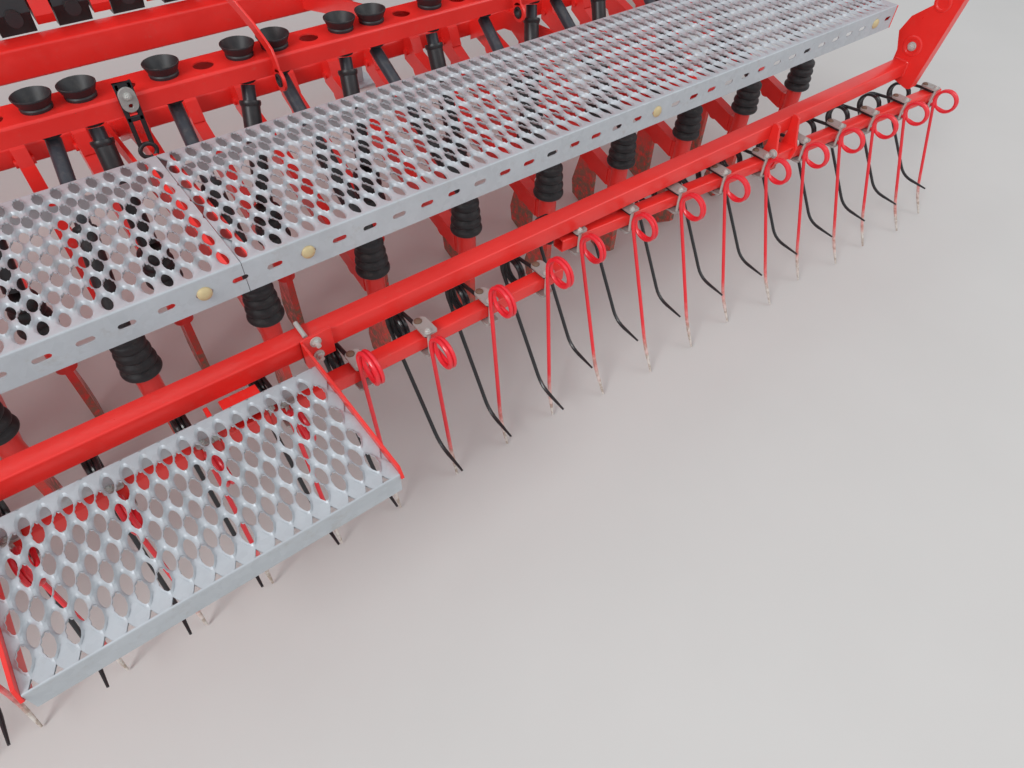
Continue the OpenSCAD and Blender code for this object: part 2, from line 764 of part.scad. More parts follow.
// Segments: middle along X, number of tines, pitch, the rear top edge's place along Y and Z at that middle,
// and how far that edge runs rearward and down for each millimetre along X.
SEGMENTS = [
    [-outer_x, outer_n, tine_pitch, -62, 374, 0, 0],
    [mid_x, mid_n, mid_tine_pitch, -75, 377, 0, 0],
    [outer_x, outer_n, tine_pitch, -49, 369, -0.0435, -0.029]];
function seg_tines(s) = [for (k = [0:s[1] - 1]) (k - (s[1] - 1) / 2) * s[2]];
function on_bar(s, x) = [s[0] + x, s[3] + x * s[5], s[4] + x * s[6]];

module segment_bar(s, l, gap) {
    translate(on_bar(s, 0)) rotate([0, -atan(s[6]), atan(s[5])])
        span([-l, -gap, -bar_s - gap], [l, bar_s + gap, gap]);
}

// Square bars that carry the tines. The right one hangs askew: its outer end is lower and further back.
module segment_bars() {
    color(red) seat() for (s = SEGMENTS) segment_bar(s, (s[1] - 1) * s[2] / 2 + bar_end, 0);
}

// Bent plates that hang each segment from the cross tube, cut out round its bar.
module segment_brackets() {
    y = -harrow_s / 2 - fit_gap;
    color(red) seat() for (s = SEGMENTS) {
        x = s[0] - (s[1] % 2) * s[2] / 2;
        difference() {
            union() {
                for (dx = [-50, 28])
                    plate_x(x + dx, x + dx + 8)
                        polygon([[y, harrow_z + 26], [y, harrow_z - harrow_s / 2 - 3], [s[3] + bar_s + 8,
                            s[4] - 5],
                            [s[3] + bar_s + 5, s[4] - bar_s], [s[3] - 4, s[4] - bar_s], [s[3] - 6,
                                s[4]],
                            [y - 20, harrow_z + 26]]);
                span([x - 50, s[3] - 4, s[4] - 3], [x + 36, s[3] + bar_s + 4, s[4] + 8]);
            }
            segment_bar(s, 400, fit_gap);
        }
    }
}

wire_r = wire_d / 2;
wire_gap = 0.4;
clamp_x = [-16, 14];
clamp_over = 9;
clamp_t = 5;
clamp_bolt_r = 3.5;
clamp_bolt_x = -5;

// Plates above and below the bar, and the two bolts that draw them together round the tines' ends.
module tine_clamps() {
    z = wire_d + 2 * wire_gap;
    color(zinc) seat() for (s = SEGMENTS) for (x = seg_tines(s)) translate(on_bar(s, x)) {
        span([clamp_x[0], -clamp_over, z], [clamp_x[1], bar_s + clamp_over, z + clamp_t]);
        span([clamp_x[0], -clamp_over, -bar_s - z - clamp_t], [clamp_x[1], bar_s + clamp_over, -bar_s - z]);
        for (y = [-clamp_over / 2 - 0.6, bar_s + clamp_over / 2 + 0.6])
            translate([clamp_bolt_x, y, -bar_s - z - 1]) cylinder(h = bar_s + 2 * z + 2, r = clamp_bolt_r);
    }
}

coil_turns = 2;
leg_r = wire_r - 0.4;

// A sprung tine round a coil centred at c. Its leg bends at its knee, and its end runs along the bar at
// end_z.
module tine(c, knee, tip, end_y, end_z) {
    w = wire_r;
    x = c.x - wire_r * coil_turns;
    side = sign(end_z - c.z);
    translate([x, c.y, c.z]) rotate([0, 90, 0]) rotate_extrude()
        polygon(concat([[coil_r - wire_d, wire_d * coil_turns], [coil_r - wire_d, 0]],
            [for (k = [0:coil_turns - 1])
                each [[coil_r - w, wire_d * k], [coil_r, wire_d * (k + 0.3)], [coil_r,
                    wire_d * (k + 0.7)]]],
            [[coil_r - w, wire_d * coil_turns]]));
    strut([x + w, c.y + coil_r - w - 0.5, c.z], [x + w, c.y + knee[0], knee[1]], leg_r, $fn = 8);
    strut([x + w, c.y + knee[0], knee[1]], [x + w, c.y + tip[0], tip[1]], leg_r, $fn = 8);
    xe = c.x + wire_r * (coil_turns - 1);
    strut([xe, c.y, c.z + side * (coil_r - w)], [xe, end_y[0], end_z], leg_r, $fn = 8);
    rod_y(min(end_y), max(end_y), xe, end_z, leg_r, $fn = 8);
}

// Coil centres behind and below the bar's rear top edge, and knees and tips: along Y from the coil,
// along Z from the ground.
red_coil = [0, -44, -10];
red_knee = [-34, 62];
red_tip = [-60, 5];
black_coil = [-18, bar_s + coil_r + 22, -32];
black_knee = [-104, 75];
black_tip = [-184, 6];

// The rear row, with its ends under the bars.
module red_tines() {
    color(red) seat() for (s = SEGMENTS) for (x = seg_tines(s)) {
        p = on_bar(s, x);
        tine(p + red_coil, red_knee, red_tip, [p.y - 2, p.y + bar_s + 3], p.z - bar_s - wire_r - wire_gap);
    }
}

// The front row, whose coils hang ahead of the bars, with its ends over them.
module black_tines() {
    color(black) seat() for (s = SEGMENTS) for (x = seg_tines(s)) {
        p = on_bar(s, x);
        tine(p + black_coil, black_knee, black_tip, [p.y + bar_s + 2, p.y - 3], p.z + wire_r + wire_gap);
    }
}

rear_beam();
front_beam();
frame_rails();
headstock();
side_frames();
hopper();
hopper_lid();
lid_handles();
metering_housings();
metering_gates();
metering_shaft();
gearbox();
funnel_rail();
rail_posts();
funnels();
rail_hooks();
rubber_strap();
seed_tubes();
seed_sleeves();
coulter_beam();
coulter_arms();
coulter_boots();
bellows();
walkway_left();
walkway_right();
walkway_brackets();
wheel_arms();
rim_left();
rim_right();
tyre_left();
tyre_right();
stand_sleeves();
stand_left();
stand_right();
harrow_arms();
harrow_tube();
step_plank();
step_sides();
segment_bars();
segment_brackets();
tine_clamps();
red_tines();
black_tines();
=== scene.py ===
"""Looks of the mounted seed drill: materials, gratings, tines, tubes and small parts round the frame."""

import json
import math
import random

import bmesh
import bpy
from mathutils import Matrix, Vector
from mathutils.geometry import tessellate_polygon


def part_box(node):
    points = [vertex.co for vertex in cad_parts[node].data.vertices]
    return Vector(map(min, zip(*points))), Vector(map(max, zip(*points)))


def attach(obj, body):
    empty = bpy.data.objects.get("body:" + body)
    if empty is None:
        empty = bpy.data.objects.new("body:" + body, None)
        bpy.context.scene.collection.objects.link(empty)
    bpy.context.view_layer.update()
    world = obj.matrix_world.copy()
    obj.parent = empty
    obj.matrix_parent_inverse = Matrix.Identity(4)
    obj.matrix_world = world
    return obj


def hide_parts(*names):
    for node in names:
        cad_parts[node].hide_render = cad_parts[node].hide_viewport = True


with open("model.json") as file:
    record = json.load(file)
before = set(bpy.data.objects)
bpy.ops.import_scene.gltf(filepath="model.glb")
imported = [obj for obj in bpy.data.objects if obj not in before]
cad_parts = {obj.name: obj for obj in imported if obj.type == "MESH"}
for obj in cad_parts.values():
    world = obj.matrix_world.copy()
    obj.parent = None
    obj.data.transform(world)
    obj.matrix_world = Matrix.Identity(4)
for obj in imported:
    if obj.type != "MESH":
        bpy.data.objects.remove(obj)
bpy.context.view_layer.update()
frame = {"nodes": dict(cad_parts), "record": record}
NODES = frame["nodes"]

MM = 0.001
REAR_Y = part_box("walkway_right")[0][1]


def at(x, y, z):
    """A place given in millimetres: x from the middle, y from the walkway's rear face, z from the ground."""
    return Vector((x * MM, REAR_Y + y * MM, z * MM))


def low(node):
    """The low corner of a node's box, in the same millimetres as at()."""
    x, y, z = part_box(node)[0]
    return Vector((x / MM, (y - REAR_Y) / MM, z / MM))


def high(node):
    """The high corner of a node's box, in the same millimetres as at()."""
    x, y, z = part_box(node)[1]
    return Vector((x / MM, (y - REAR_Y) / MM, z / MM))


# Camera

CAMERA_PLACE = at(-187, -878, 1290)
CAMERA_RIGHT = (0.7917, -0.6105, 0.0243)
CAMERA_UP = (0.4480, 0.6071, 0.6563)
CAMERA_FORWARD = (0.4154, 0.5087, -0.7541)
CAMERA_LENS = 24.19
SENSOR = 36


def place_camera():
    """The camera at the photograph's viewing angle."""
    data = bpy.data.cameras.new("camera")
    data.lens = CAMERA_LENS
    data.sensor_width = SENSOR
    data.clip_start = 0.02
    camera = bpy.data.objects.new("camera", data)
    back = [-v for v in CAMERA_FORWARD]
    turn = Matrix((CAMERA_RIGHT, CAMERA_UP, back)).transposed().to_4x4()
    camera.matrix_world = Matrix.Translation(CAMERA_PLACE) @ turn
    bpy.context.scene.collection.objects.link(camera)
    bpy.context.scene.camera = camera


# Light

SKY = (0.93, 0.96, 1.0, 1)
SKY_STRENGTH = 0.62
BACKGROUND = (0.86, 0.86, 0.85, 1)
# Name, place in metres, size in metres, power in watts.
LAMPS = (
    ("key", (-4.6, -2.6, 4.4), 2.4, 210),
    ("fill", (3.6, -3.4, 3.2), 3.0, 45),
    ("front", (-0.5, 4.5, 4.2), 4.0, 70),
)
LAMPS_AIM = Vector((0, -0.3, 0.4))


def place_lights():
    """Soft area lamps, an even sky on the object and a pale background for the camera."""
    world = bpy.data.worlds.new("studio")
    bpy.context.scene.world = world
    world.use_nodes = True
    net = world.node_tree
    net.nodes.clear()
    out = net.nodes.new("ShaderNodeOutputWorld")
    mix = net.nodes.new("ShaderNodeMixShader")
    path = net.nodes.new("ShaderNodeLightPath")
    sky = net.nodes.new("ShaderNodeBackground")
    seen = net.nodes.new("ShaderNodeBackground")
    sky.inputs["Color"].default_value = SKY
    sky.inputs["Strength"].default_value = SKY_STRENGTH
    seen.inputs["Color"].default_value = BACKGROUND
    seen.inputs["Strength"].default_value = 1.0
    net.links.new(path.outputs["Is Camera Ray"], mix.inputs["Fac"])
    net.links.new(sky.outputs[0], mix.inputs[1])
    net.links.new(seen.outputs[0], mix.inputs[2])
    net.links.new(mix.outputs[0], out.inputs["Surface"])
    for name, place, size, power in LAMPS:
        data = bpy.data.lights.new(name, "AREA")
        data.size = size
        data.energy = power
        lamp = bpy.data.objects.new(name, data)
        lamp.location = place
        aim = LAMPS_AIM - Vector(place)
        lamp.rotation_euler = aim.to_track_quat("-Z", "Y").to_euler()
        bpy.context.scene.collection.objects.link(lamp)


# Materials

class Net:
    """Builds one material's node tree."""

    def __init__(self, name):
        self.material = bpy.data.materials.new(name)
        self.material.use_nodes = True
        self.tree = self.material.node_tree
        self.tree.nodes.clear()
        self.out = self.tree.nodes.new("ShaderNodeOutputMaterial")
        self.shader = self.tree.nodes.new("ShaderNodeBsdfPrincipled")
        self.join(self.shader.outputs[0], self.out.inputs["Surface"])
        self.coords = self.tree.nodes.new("ShaderNodeTexCoord").outputs["Object"]

    def join(self, a, b):
        self.tree.links.new(a, b)

    def put(self, socket, value):
        if isinstance(value, bpy.types.NodeSocket):
            self.join(value, socket)
        elif isinstance(value, tuple) and len(value) == 3 and socket.type == "RGBA":
            socket.default_value = (*value, 1)
        else:
            socket.default_value = value

    def noise(self, scale, detail=3, rough=0.55, stretch=(1, 1, 1), place=0.0):
        node = self.tree.nodes.new("ShaderNodeTexNoise")
        node.inputs["Scale"].default_value = scale
        node.inputs["Detail"].default_value = detail
        node.inputs["Roughness"].default_value = rough
        mapping = self.tree.nodes.new("ShaderNodeMapping")
        mapping.inputs["Scale"].default_value = stretch
        mapping.inputs["Location"].default_value = (place, place, place)
        self.join(self.coords, mapping.inputs["Vector"])
        self.join(mapping.outputs[0], node.inputs["Vector"])
        return node.outputs["Fac"]

    def cells(self, scale):
        node = self.tree.nodes.new("ShaderNodeTexVoronoi")
        node.inputs["Scale"].default_value = scale
        self.join(self.coords, node.inputs["Vector"])
        grey = self.tree.nodes.new("ShaderNodeSeparateColor")
        self.join(node.outputs["Color"], grey.inputs[0])
        return grey.outputs[0]

    def step(self, value, a, b):
        """0 below a, 1 above b, and smooth between them; a may lie above b."""
        node = self.tree.nodes.new("ShaderNodeMapRange")
        node.interpolation_type = "SMOOTHSTEP"
        self.join(value, node.inputs["Value"])
        flip = a > b
        node.inputs["From Min"].default_value = min(a, b)
        node.inputs["From Max"].default_value = max(a, b)
        node.inputs["To Min"].default_value = 1 if flip else 0
        node.inputs["To Max"].default_value = 0 if flip else 1
        return node.outputs["Result"]

    def math(self, kind, a, b):
        node = self.tree.nodes.new("ShaderNodeMath")
        node.operation = kind
        self.put(node.inputs[0], a)
        self.put(node.inputs[1], b)
        return node.outputs[0]

    def mix(self, fac, a, b):
        node = self.tree.nodes.new("ShaderNodeMix")
        node.data_type = "RGBA"
        self.put(node.inputs["Factor"], fac)
        self.put(node.inputs["A"], a)
        self.put(node.inputs["B"], b)
        return node.outputs["Result"]

    def height(self):
        node = self.tree.nodes.new("ShaderNodeSeparateXYZ")
        self.join(self.coords, node.inputs[0])
        return node.outputs["Z"]

    def facing_up(self):
        geometry = self.tree.nodes.new("ShaderNodeNewGeometry")
        node = self.tree.nodes.new("ShaderNodeSeparateXYZ")
        self.join(geometry.outputs["Normal"], node.inputs[0])
        return node.outputs["Z"]

    def bump(self, height, strength, distance):
        node = self.tree.nodes.new("ShaderNodeBump")
        node.inputs["Strength"].default_value = strength
        node.inputs["Distance"].default_value = distance
        self.join(height, node.inputs["Height"])
        self.join(node.outputs[0], self.shader.inputs["Normal"])

    def done(self, color, rough, metal=0.0, coat=0.0):
        self.put(self.shader.inputs["Base Color"], color)
        self.put(self.shader.inputs["Roughness"], rough)
        self.put(self.shader.inputs["Metallic"], metal)
        self.shader.inputs["Coat Weight"].default_value = coat
        self.shader.inputs["Coat Roughness"].default_value = 0.12
        return self.material


SOIL = (0.20, 0.145, 0.10)
DUST = (0.36, 0.30, 0.24)
CHIP = (0.12, 0.09, 0.08)
STAIN = (0.30, 0.22, 0.14)
RUBBER_DUST = (0.22, 0.19, 0.16)
BARE_STEEL = (0.66, 0.61, 0.56)
SOILED_STEEL = (0.40, 0.32, 0.26)
# How far the edge of soil or bare steel spreads, in metres.
EDGE_SPREAD = 0.12


def paint(name, color, dust=0.25, soil_top=None, chips=0.0):
    """Gloss paint with patches of dust, soil low down and small chips."""
    net = Net(name)
    cloud = net.noise(6, 4)
    fine = net.noise(90, 4, 0.7, place=3)
    tone = net.mix(net.step(cloud, 0.35, 0.7), color, tuple(min(1, c * 1.12 + 0.004) for c in color))
    patches = net.step(net.noise(14, 5, 0.65, place=7), 0.45, 0.75)
    dirt = net.math("MULTIPLY", net.step(fine, 0.5, 0.8), patches)
    dirt = net.math("MULTIPLY", dirt, dust)
    tone = net.mix(dirt, tone, DUST)
    if soil_top:
        ragged = net.math("MULTIPLY", net.noise(22, 4, place=2), EDGE_SPREAD)
        low_part = net.step(net.math("ADD", net.height(), ragged), soil_top + EDGE_SPREAD, soil_top - 0.04)
        cover = net.math("MULTIPLY", low_part, net.step(net.noise(60, 5, 0.7, place=9), 0.3, 0.6))
        tone = net.mix(cover, tone, SOIL)
        dirt = net.math("MAXIMUM", dirt, cover)
    if chips:
        chip = net.math("MULTIPLY", net.step(net.noise(160, 3, 0.6, place=5), 0.72, 0.78), chips)
        tone = net.mix(chip, tone, CHIP)
    uneven = net.math("MULTIPLY", net.noise(40, 3, place=1), 0.14)
    rough = net.math("ADD", uneven, net.math("MULTIPLY", dirt, 0.5))
    rough = net.math("ADD", rough, 0.24)
    net.bump(net.noise(70, 3, place=4), 0.06, 0.002)
    return net.done(tone, rough, 0.0, 0.15)


def galvanised(name, color=(0.50, 0.53, 0.56), stain=0.3):
    """Hot-dip zinc: faint spangle, cloudy roughness and some brown stain."""
    net = Net(name)
    spangle = net.cells(95)
    cloud = net.noise(9, 5, 0.6)
    tone = net.mix(net.math("MULTIPLY", spangle, 0.35), color, tuple(c * 0.86 for c in color))
    pale = tuple(min(1, c * 1.2) for c in color)
    tone = net.mix(net.math("MULTIPLY", net.step(cloud, 0.4, 0.7), 0.4), tone, pale)
    mark = net.math("MULTIPLY", net.step(net.noise(26, 6, 0.7, place=6), 0.55, 0.8), stain)
    tone = net.mix(mark, tone, STAIN)
    rough = net.math("ADD", net.math("MULTIPLY", spangle, 0.14), net.math("MULTIPLY", cloud, 0.2))
    rough = net.math("ADD", rough, net.math("ADD", net.math("MULTIPLY", mark, 0.4), 0.38))
    net.bump(net.noise(120, 3), 0.05, 0.001)
    return net.done(tone, rough, 0.35)


def rubber(name, color=(0.016, 0.016, 0.018), rough=0.5, dust=0.35):
    """Black rubber with pale dust in its top faces."""
    net = Net(name)
    top = net.step(net.facing_up(), 0.2, 0.95)
    speck = net.step(net.noise(70, 5, 0.7), 0.45, 0.75)
    cover = net.math("MULTIPLY", net.math("MULTIPLY", top, speck), dust)
    tone = net.mix(net.noise(12, 3, place=2), color, tuple(c * 1.5 for c in color))
    tone = net.mix(cover, tone, RUBBER_DUST)
    net.bump(net.noise(180, 3), 0.08, 0.001)
    return net.done(tone, net.math("ADD", net.math("MULTIPLY", cover, 0.6), rough), 0.0)


def wire(name, color, worn_top):
    """Painted spring wire, rubbed bare and soiled below worn_top."""
    net = Net(name)
    edge = net.math("ADD", net.height(), net.math("MULTIPLY", net.noise(30, 4), 0.1))
    bare = net.step(edge, worn_top + EDGE_SPREAD, worn_top)
    steel = net.mix(net.step(net.noise(90, 4, place=3), 0.4, 0.65), BARE_STEEL, SOILED_STEEL)
    tone = net.mix(net.noise(20, 3, place=1), color, tuple(min(1, c * 1.15) for c in color))
    tone = net.mix(bare, tone, steel)
    rough = net.math("ADD", net.math("MULTIPLY", bare, 0.25), 0.28)
    net.bump(net.noise(200, 3), 0.05, 0.0006)
    return net.done(tone, rough, 0.0, 0.1)


RED = (0.80, 0.028, 0.022)
MATERIALS = {
    "red_paint": paint("red_paint", RED, chips=0.5),
    "red_low": paint("red_low", RED, dust=0.5, soil_top=0.16, chips=0.6),
    "galvanised": galvanised("galvanised"),
    "black_plastic": rubber("black_plastic", (0.022, 0.022, 0.024), 0.38, 0.3),
    "grey_tube": rubber("grey_tube", (0.035, 0.04, 0.05), 0.36, 0.3),
    "rubber": rubber("rubber"),
    "tyre": rubber("tyre", (0.02, 0.02, 0.02), 0.6, 0.5),
    "rim": paint("rim", (0.62, 0.62, 0.58), dust=0.3),
    "black_steel": paint("black_steel", (0.018, 0.018, 0.02), dust=0.3),
    "red_wire": wire("red_wire", (0.76, 0.022, 0.035), 0.075),
    "black_wire": wire("black_wire", (0.02, 0.02, 0.022), 0.02),
    "brass_zinc": galvanised("brass_zinc", (0.62, 0.50, 0.28), 0.3),
    "bolt_zinc": galvanised("bolt_zinc", (0.55, 0.55, 0.52), 0.45),
    "clamp_zinc": galvanised("clamp_zinc", (0.42, 0.41, 0.39), 0.9),
    "rust": rubber("rust", (0.13, 0.075, 0.05), 0.7, 0.3),
}
# Nodes near the ground, whose red paint carries soil.
LOW_NODES = ("coulter_arms", "coulter_boots", "coulter_beam")


def dress_nodes():
    """Gives each CAD node the material of its slot."""
    slots = {row["node"]: row["material_slot"] for row in frame["record"]["subparts"]}
    for name, node in NODES.items():
        material = MATERIALS["red_low" if name in LOW_NODES else slots[name]]
        node.data.materials.clear()
        node.data.materials.append(material)


# Mesh helpers

SHARP = math.radians(32)
BEVEL_FROM = math.radians(40)
MERGE = 0.02 * MM


class Mesh:
    """Collects points and faces of one piece."""

    def __init__(self):
        self.points = []
        self.faces = []

    def add(self, points, faces):
        base = len(self.points)
        self.points.extend(Vector(p) for p in points)
        self.faces.extend([i + base for i in face] for face in faces)

    def grid(self, rows, close_rows=False, close_points=True):
        """Skins rings of equal length; each row is a ring."""
        n = len(rows[0])
        faces = []
        for r in range(len(rows) if close_rows else len(rows) - 1):
            a, b = r * n, (r + 1) % len(rows) * n
            for k in range(n if close_points else n - 1):
                j = (k + 1) % n
                faces.append([a + k, a + j, b + j, b + k])
        self.add([p for row in rows for p in row], faces)

    def cap(self, ring, flip=False):
        face = list(range(len(ring)))
        self.add(ring, [face[::-1] if flip else face])


def finish_piece(name, mesh, material, body, replaces=(), bevel=0.0):
    """Turns a Mesh into a Blender object that rides on its body."""
    data = bpy.data.meshes.new(name)
    data.from_pydata([tuple(p) for p in mesh.points], [], mesh.faces)
    work = bmesh.new()
    work.from_mesh(data)
    bmesh.ops.remove_doubles(work, verts=work.verts, dist=MERGE)
    bmesh.ops.recalc_face_normals(work, faces=work.faces)
    for face in work.faces:
        face.smooth = True
    for edge in work.edges:
        if len(edge.link_faces) != 2 or edge.calc_face_angle(0) > SHARP:
            edge.smooth = False
    work.to_mesh(data)
    work.free()
    piece = bpy.data.objects.new(name, data)
    bpy.context.scene.collection.objects.link(piece)
    data.materials.append(MATERIALS[material])
    if bevel:
        modifier = piece.modifiers.new("bevel", "BEVEL")
        modifier.width = bevel
        modifier.segments = 2
        modifier.limit_method = "ANGLE"
        modifier.angle_limit = BEVEL_FROM
    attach(piece, body)
    if replaces:
        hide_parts(*replaces)


def across(way):
    """Two directions across a direction."""
    side = way.cross(Vector((0, 0, 1)))
    if side.length < 0.1:
        side = way.cross(Vector((0, 1, 0)))
    side.normalize()
    return side, way.cross(side).normalized()


def sweep(mesh, path, radius, sides=8, close=False):
    """A round bar along a path; radius is one number or one per point."""
    rings = []
    count = len(path)
    side = None
    for k, point in enumerate(path):
        before = path[k - 1] if k or close else path[k]
        after = path[(k + 1) % count] if k < count - 1 or close else path[k]
        way = (after - before).normalized()
        if side is None:
            side, _ = across(way)
        side = (side - way * side.dot(way)).normalized()
        up = way.cross(side)
        r = radius[k] if isinstance(radius, (list, tuple)) else radius
        rings.append([point + (side * math.cos(t) + up * math.sin(t)) * r
                      for t in (2 * math.pi * s / sides for s in range(sides))])
    mesh.grid(rings, close_rows=close)
    if not close:
        mesh.cap(rings[0], flip=True)
        mesh.cap(rings[-1])


def lathe(mesh, base, axis, profile, sides=24, closed=False):
    """Turns (radius, distance along axis) pairs round an axis."""
    axis = Vector(axis).normalized()
    a, b = across(axis)
    rings = []
    for r, d in profile:
        rings.append([base + axis * d + (a * math.cos(t) + b * math.sin(t)) * r
                      for t in (2 * math.pi * s / sides for s in range(sides))])
    mesh.grid(rings, close_rows=closed)
    if not closed:
        mesh.cap(rings[0], flip=True)
        mesh.cap(rings[-1])


def box(mesh, a, b):
    """A block between two corners."""
    (x0, y0, z0), (x1, y1, z1) = a, b
    points = [(x, y, z) for z in (z0, z1) for x, y in ((x0, y0), (x1, y0), (x1, y1), (x0, y1))]
    faces = [[0, 3, 2, 1], [4, 5, 6, 7], [0, 1, 5, 4], [1, 2, 6, 5], [2, 3, 7, 6], [3, 0, 4, 7]]
    mesh.add(points, faces)


def plate(mesh, outline, holes, place, thick):
    """A flat plate with holes. place() turns (u, v, depth) into a point in space."""
    loops = [list(outline)] + [list(h) for h in holes]
    flat = [p for loop in loops for p in loop]
    triangles = tessellate_polygon([[Vector((u, v, 0)) for u, v in loop] for loop in loops])
    mesh.add([place(u, v, 0) for u, v in flat], [list(t) for t in triangles])
    mesh.add([place(u, v, thick) for u, v in flat], [list(t)[::-1] for t in triangles])
    for loop in loops:
        mesh.grid([[place(u, v, 0) for u, v in loop], [place(u, v, thick) for u, v in loop]])


def slot_loop(u, v, length, width, steps=5):
    """A slot with round ends, along u."""
    r = width / 2
    half = length / 2 - r
    loop = []
    for k in range(steps + 1):
        t = -math.pi / 2 + math.pi * k / steps
        loop.append((u + half + r * math.cos(t), v + r * math.sin(t)))
    for k in range(steps + 1):
        t = math.pi / 2 + math.pi * k / steps
        loop.append((u - half + r * math.cos(t), v + r * math.sin(t)))
    return loop


def circle(u, v, r, steps=16):
    """A ring of points round (u, v)."""
    turn = [2 * math.pi * k / steps for k in range(steps)]
    return [(u + r * math.cos(t), v + r * math.sin(t)) for t in turn]


# Profiles as (radius, height) shares: of the thread's diameter for bolts, of radius and rise for the dome.
WASHER = ((1.15, 0), (1.15, 0.16), (0.7, 0.18))
NUT = ((0.95, 0), (0.95, 0.55), (0.8, 0.68))
THREAD_END = ((0.5, 0), (0.5, 0.5), (0.4, 0.6))
DOME = ((1, 0), (0.97, 0.35), (0.75, 0.75), (0.4, 0.95), (0.08, 1))


def bolt(mesh, place, way, size):
    """A hexagon nut on a washer; size is the thread's diameter in metres."""
    way = Vector(way).normalized()
    for profile, lift, sides in ((WASHER, 0, 20), (NUT, 0.17, 6), (THREAD_END, 0.6, 12)):
        lathe(mesh, place + way * size * lift, way, [(r * size, d * size) for r, d in profile], sides)


def dome(mesh, place, way, radius, rise):
    """A carriage bolt's round head."""
    lathe(mesh, place, way, [(r * radius, d * rise) for r, d in DOME], 20)


# Gratings

# Cells along and across a plank, half sizes of a cell's hole, and the steps of a quarter of its edge.
CELL_X = 28.0
CELL_Y = 28.0
HOLE_X = 8.1
HOLE_Y = 19.6
SHEET = 2.5
CELL_STEPS = 5
# Where a cell of the walkway has its middle along X.
CELL_START = 11.0
# Height of a raised and of a sunk hole's edge, and how much its teeth add.
RAISED_EDGE = 3.0
SUNK_EDGE = -3.0
TOOTH = 0.9
# How much wider than the hole the crest round it is, along X.
CREST = 1.26
LEAST = 0.0002


def cell_ring(cx, cy, raised):
    """The rings of one cell: its border, the crest, the hole's edge and the edge below."""
    border, crest, edge, under = [], [], [], []
    n = CELL_STEPS * 4
    for k in range(n):
        quarter, s = divmod(k, CELL_STEPS)
        s /= CELL_STEPS
        sx, sy = ((1, 1), (-1, 1), (-1, -1), (1, -1))[quarter]
        f = s if quarter % 2 == 0 else 1 - s
        border.append((cx + sx * CELL_X / 2 * (1 - f), cy + sy * CELL_Y * f, 0.0))
        t = (quarter + s) * math.pi / 2
        ux, uy = math.cos(t), math.sin(t)
        px = math.copysign(abs(ux) ** 1.12, ux)
        py = math.copysign(abs(uy) ** 1.05, uy)
        tooth = 1 if k % 2 else -1
        if raised:
            grow, lift = 1 + 0.05 * tooth, RAISED_EDGE + TOOTH * tooth
            crest.append((cx + px * HOLE_X * 1.24, cy + py * HOLE_Y * 1.1, 1.1))
        else:
            grow, lift = 0.93, SUNK_EDGE
            crest.append((cx + px * HOLE_X * 1.22, cy + py * HOLE_Y * 1.08, -0.5))
        edge.append((cx + px * HOLE_X * grow, cy + py * HOLE_Y * (0.97 + 0.03 * grow), lift))
        under.append((cx + px * HOLE_X * grow * 0.97, cy + py * HOLE_Y * 0.98 * grow, lift - 2.2))
    return border, crest, edge, under


def grating(mesh, x0, x1, y0, y1, z, rows, first_y, first_x, raised_row):
    """The perforated top of a plank. Rows lie CELL_Y apart, and every other one is half a cell along."""

    def within(p):
        return at(min(max(p[0], x0), x1), min(max(p[1], y0), y1), z + p[2])

    count = int((x1 - x0) / CELL_X) + 3
    for r in range(-1, rows + 1):
        cy = first_y + r * CELL_Y
        shift = first_x + (CELL_X / 2 if r % 2 else 0)
        for c in range(-1, count):
            cx = shift + c * CELL_X
            border, crest, edge, under = cell_ring(cx, cy, r % 2 == raised_row)
            if 0 <= r < rows and cx - HOLE_X * CREST > x0 and cx + HOLE_X * CREST < x1:
                below = [(px, py, -SHEET) for px, py, _ in border]
                mesh.grid([[within(p) for p in ring] for ring in (border, crest, edge, under, below)])
                continue
            flat = []
            for p in border:
                q = within(p)
                if not flat or (q - flat[-1]).length > 1e-6:
                    flat.append(q)
            if (flat[0] - flat[-1]).length < 1e-6:
                flat.pop()
            spread_x = max(q.x for q in flat) - min(q.x for q in flat)
            spread_y = max(q.y for q in flat) - min(q.y for q in flat)
            if len(flat) < 3 or spread_x < LEAST or spread_y < LEAST:
                continue
            mesh.cap(flat)
            mesh.cap([q - Vector((0, 0, SHEET * MM)) for q in flat], flip=True)


FOLD = 2.5
WALKWAY_ROWS = 12
STEP_ROWS = 8
# Slots of a walkway's edges: pitch, shift from the seam, drop below the top, length and height.
SLOT_PITCH = 56.0
SLOT_SHIFT = -8.0
SLOT_DROP = 28.0
SLOT_L = 26.0
SLOT_H = 9.5
# Slots of the rear edge that hold a carriage bolt, counted from the seam, and its head's radius and rise.
BOLTED_SLOTS = (-30, -16, -1, 2, 16, 30)
PLANK_BOLT = (0.0115, 0.006)


def notch(x, z, depth):
    """Half a slot cut into an edge at x, from its top to its bottom; a negative depth cuts to the right."""
    r = SLOT_H / 2
    way = math.copysign(1, depth)
    middle = x - depth + way * r
    return [(x, z + r)] + [(middle - way * r * math.cos(t), z + r * math.sin(t))
                           for t in (math.pi / 2 * (1 - k / 3) for k in range(7))] + [(x, z - r)]


def fold(mesh, x0, x1, y, side, z, h, slots, r=FOLD, sheet=SHEET, start=(), end=()):
    """A folded edge: a small round and a flange with slots; side is -1 at the rear and 1 at the front."""
    arc = []
    for k in range(5):
        t = math.pi / 2 * k / 4
        arc.append((y - side * r + side * r * math.sin(t), z - r + r * math.cos(t)))
    mesh.grid([[at(x, u, v) for u, v in arc] for x in (x0, x1)], close_points=False)
    outline = [(x0, z - r), (x1, z - r), *end, (x1, z - h), (x0, z - h), *reversed(start)]
    plate(mesh, outline, slots, lambda u, v, d: at(u, y - side * d, v), sheet)


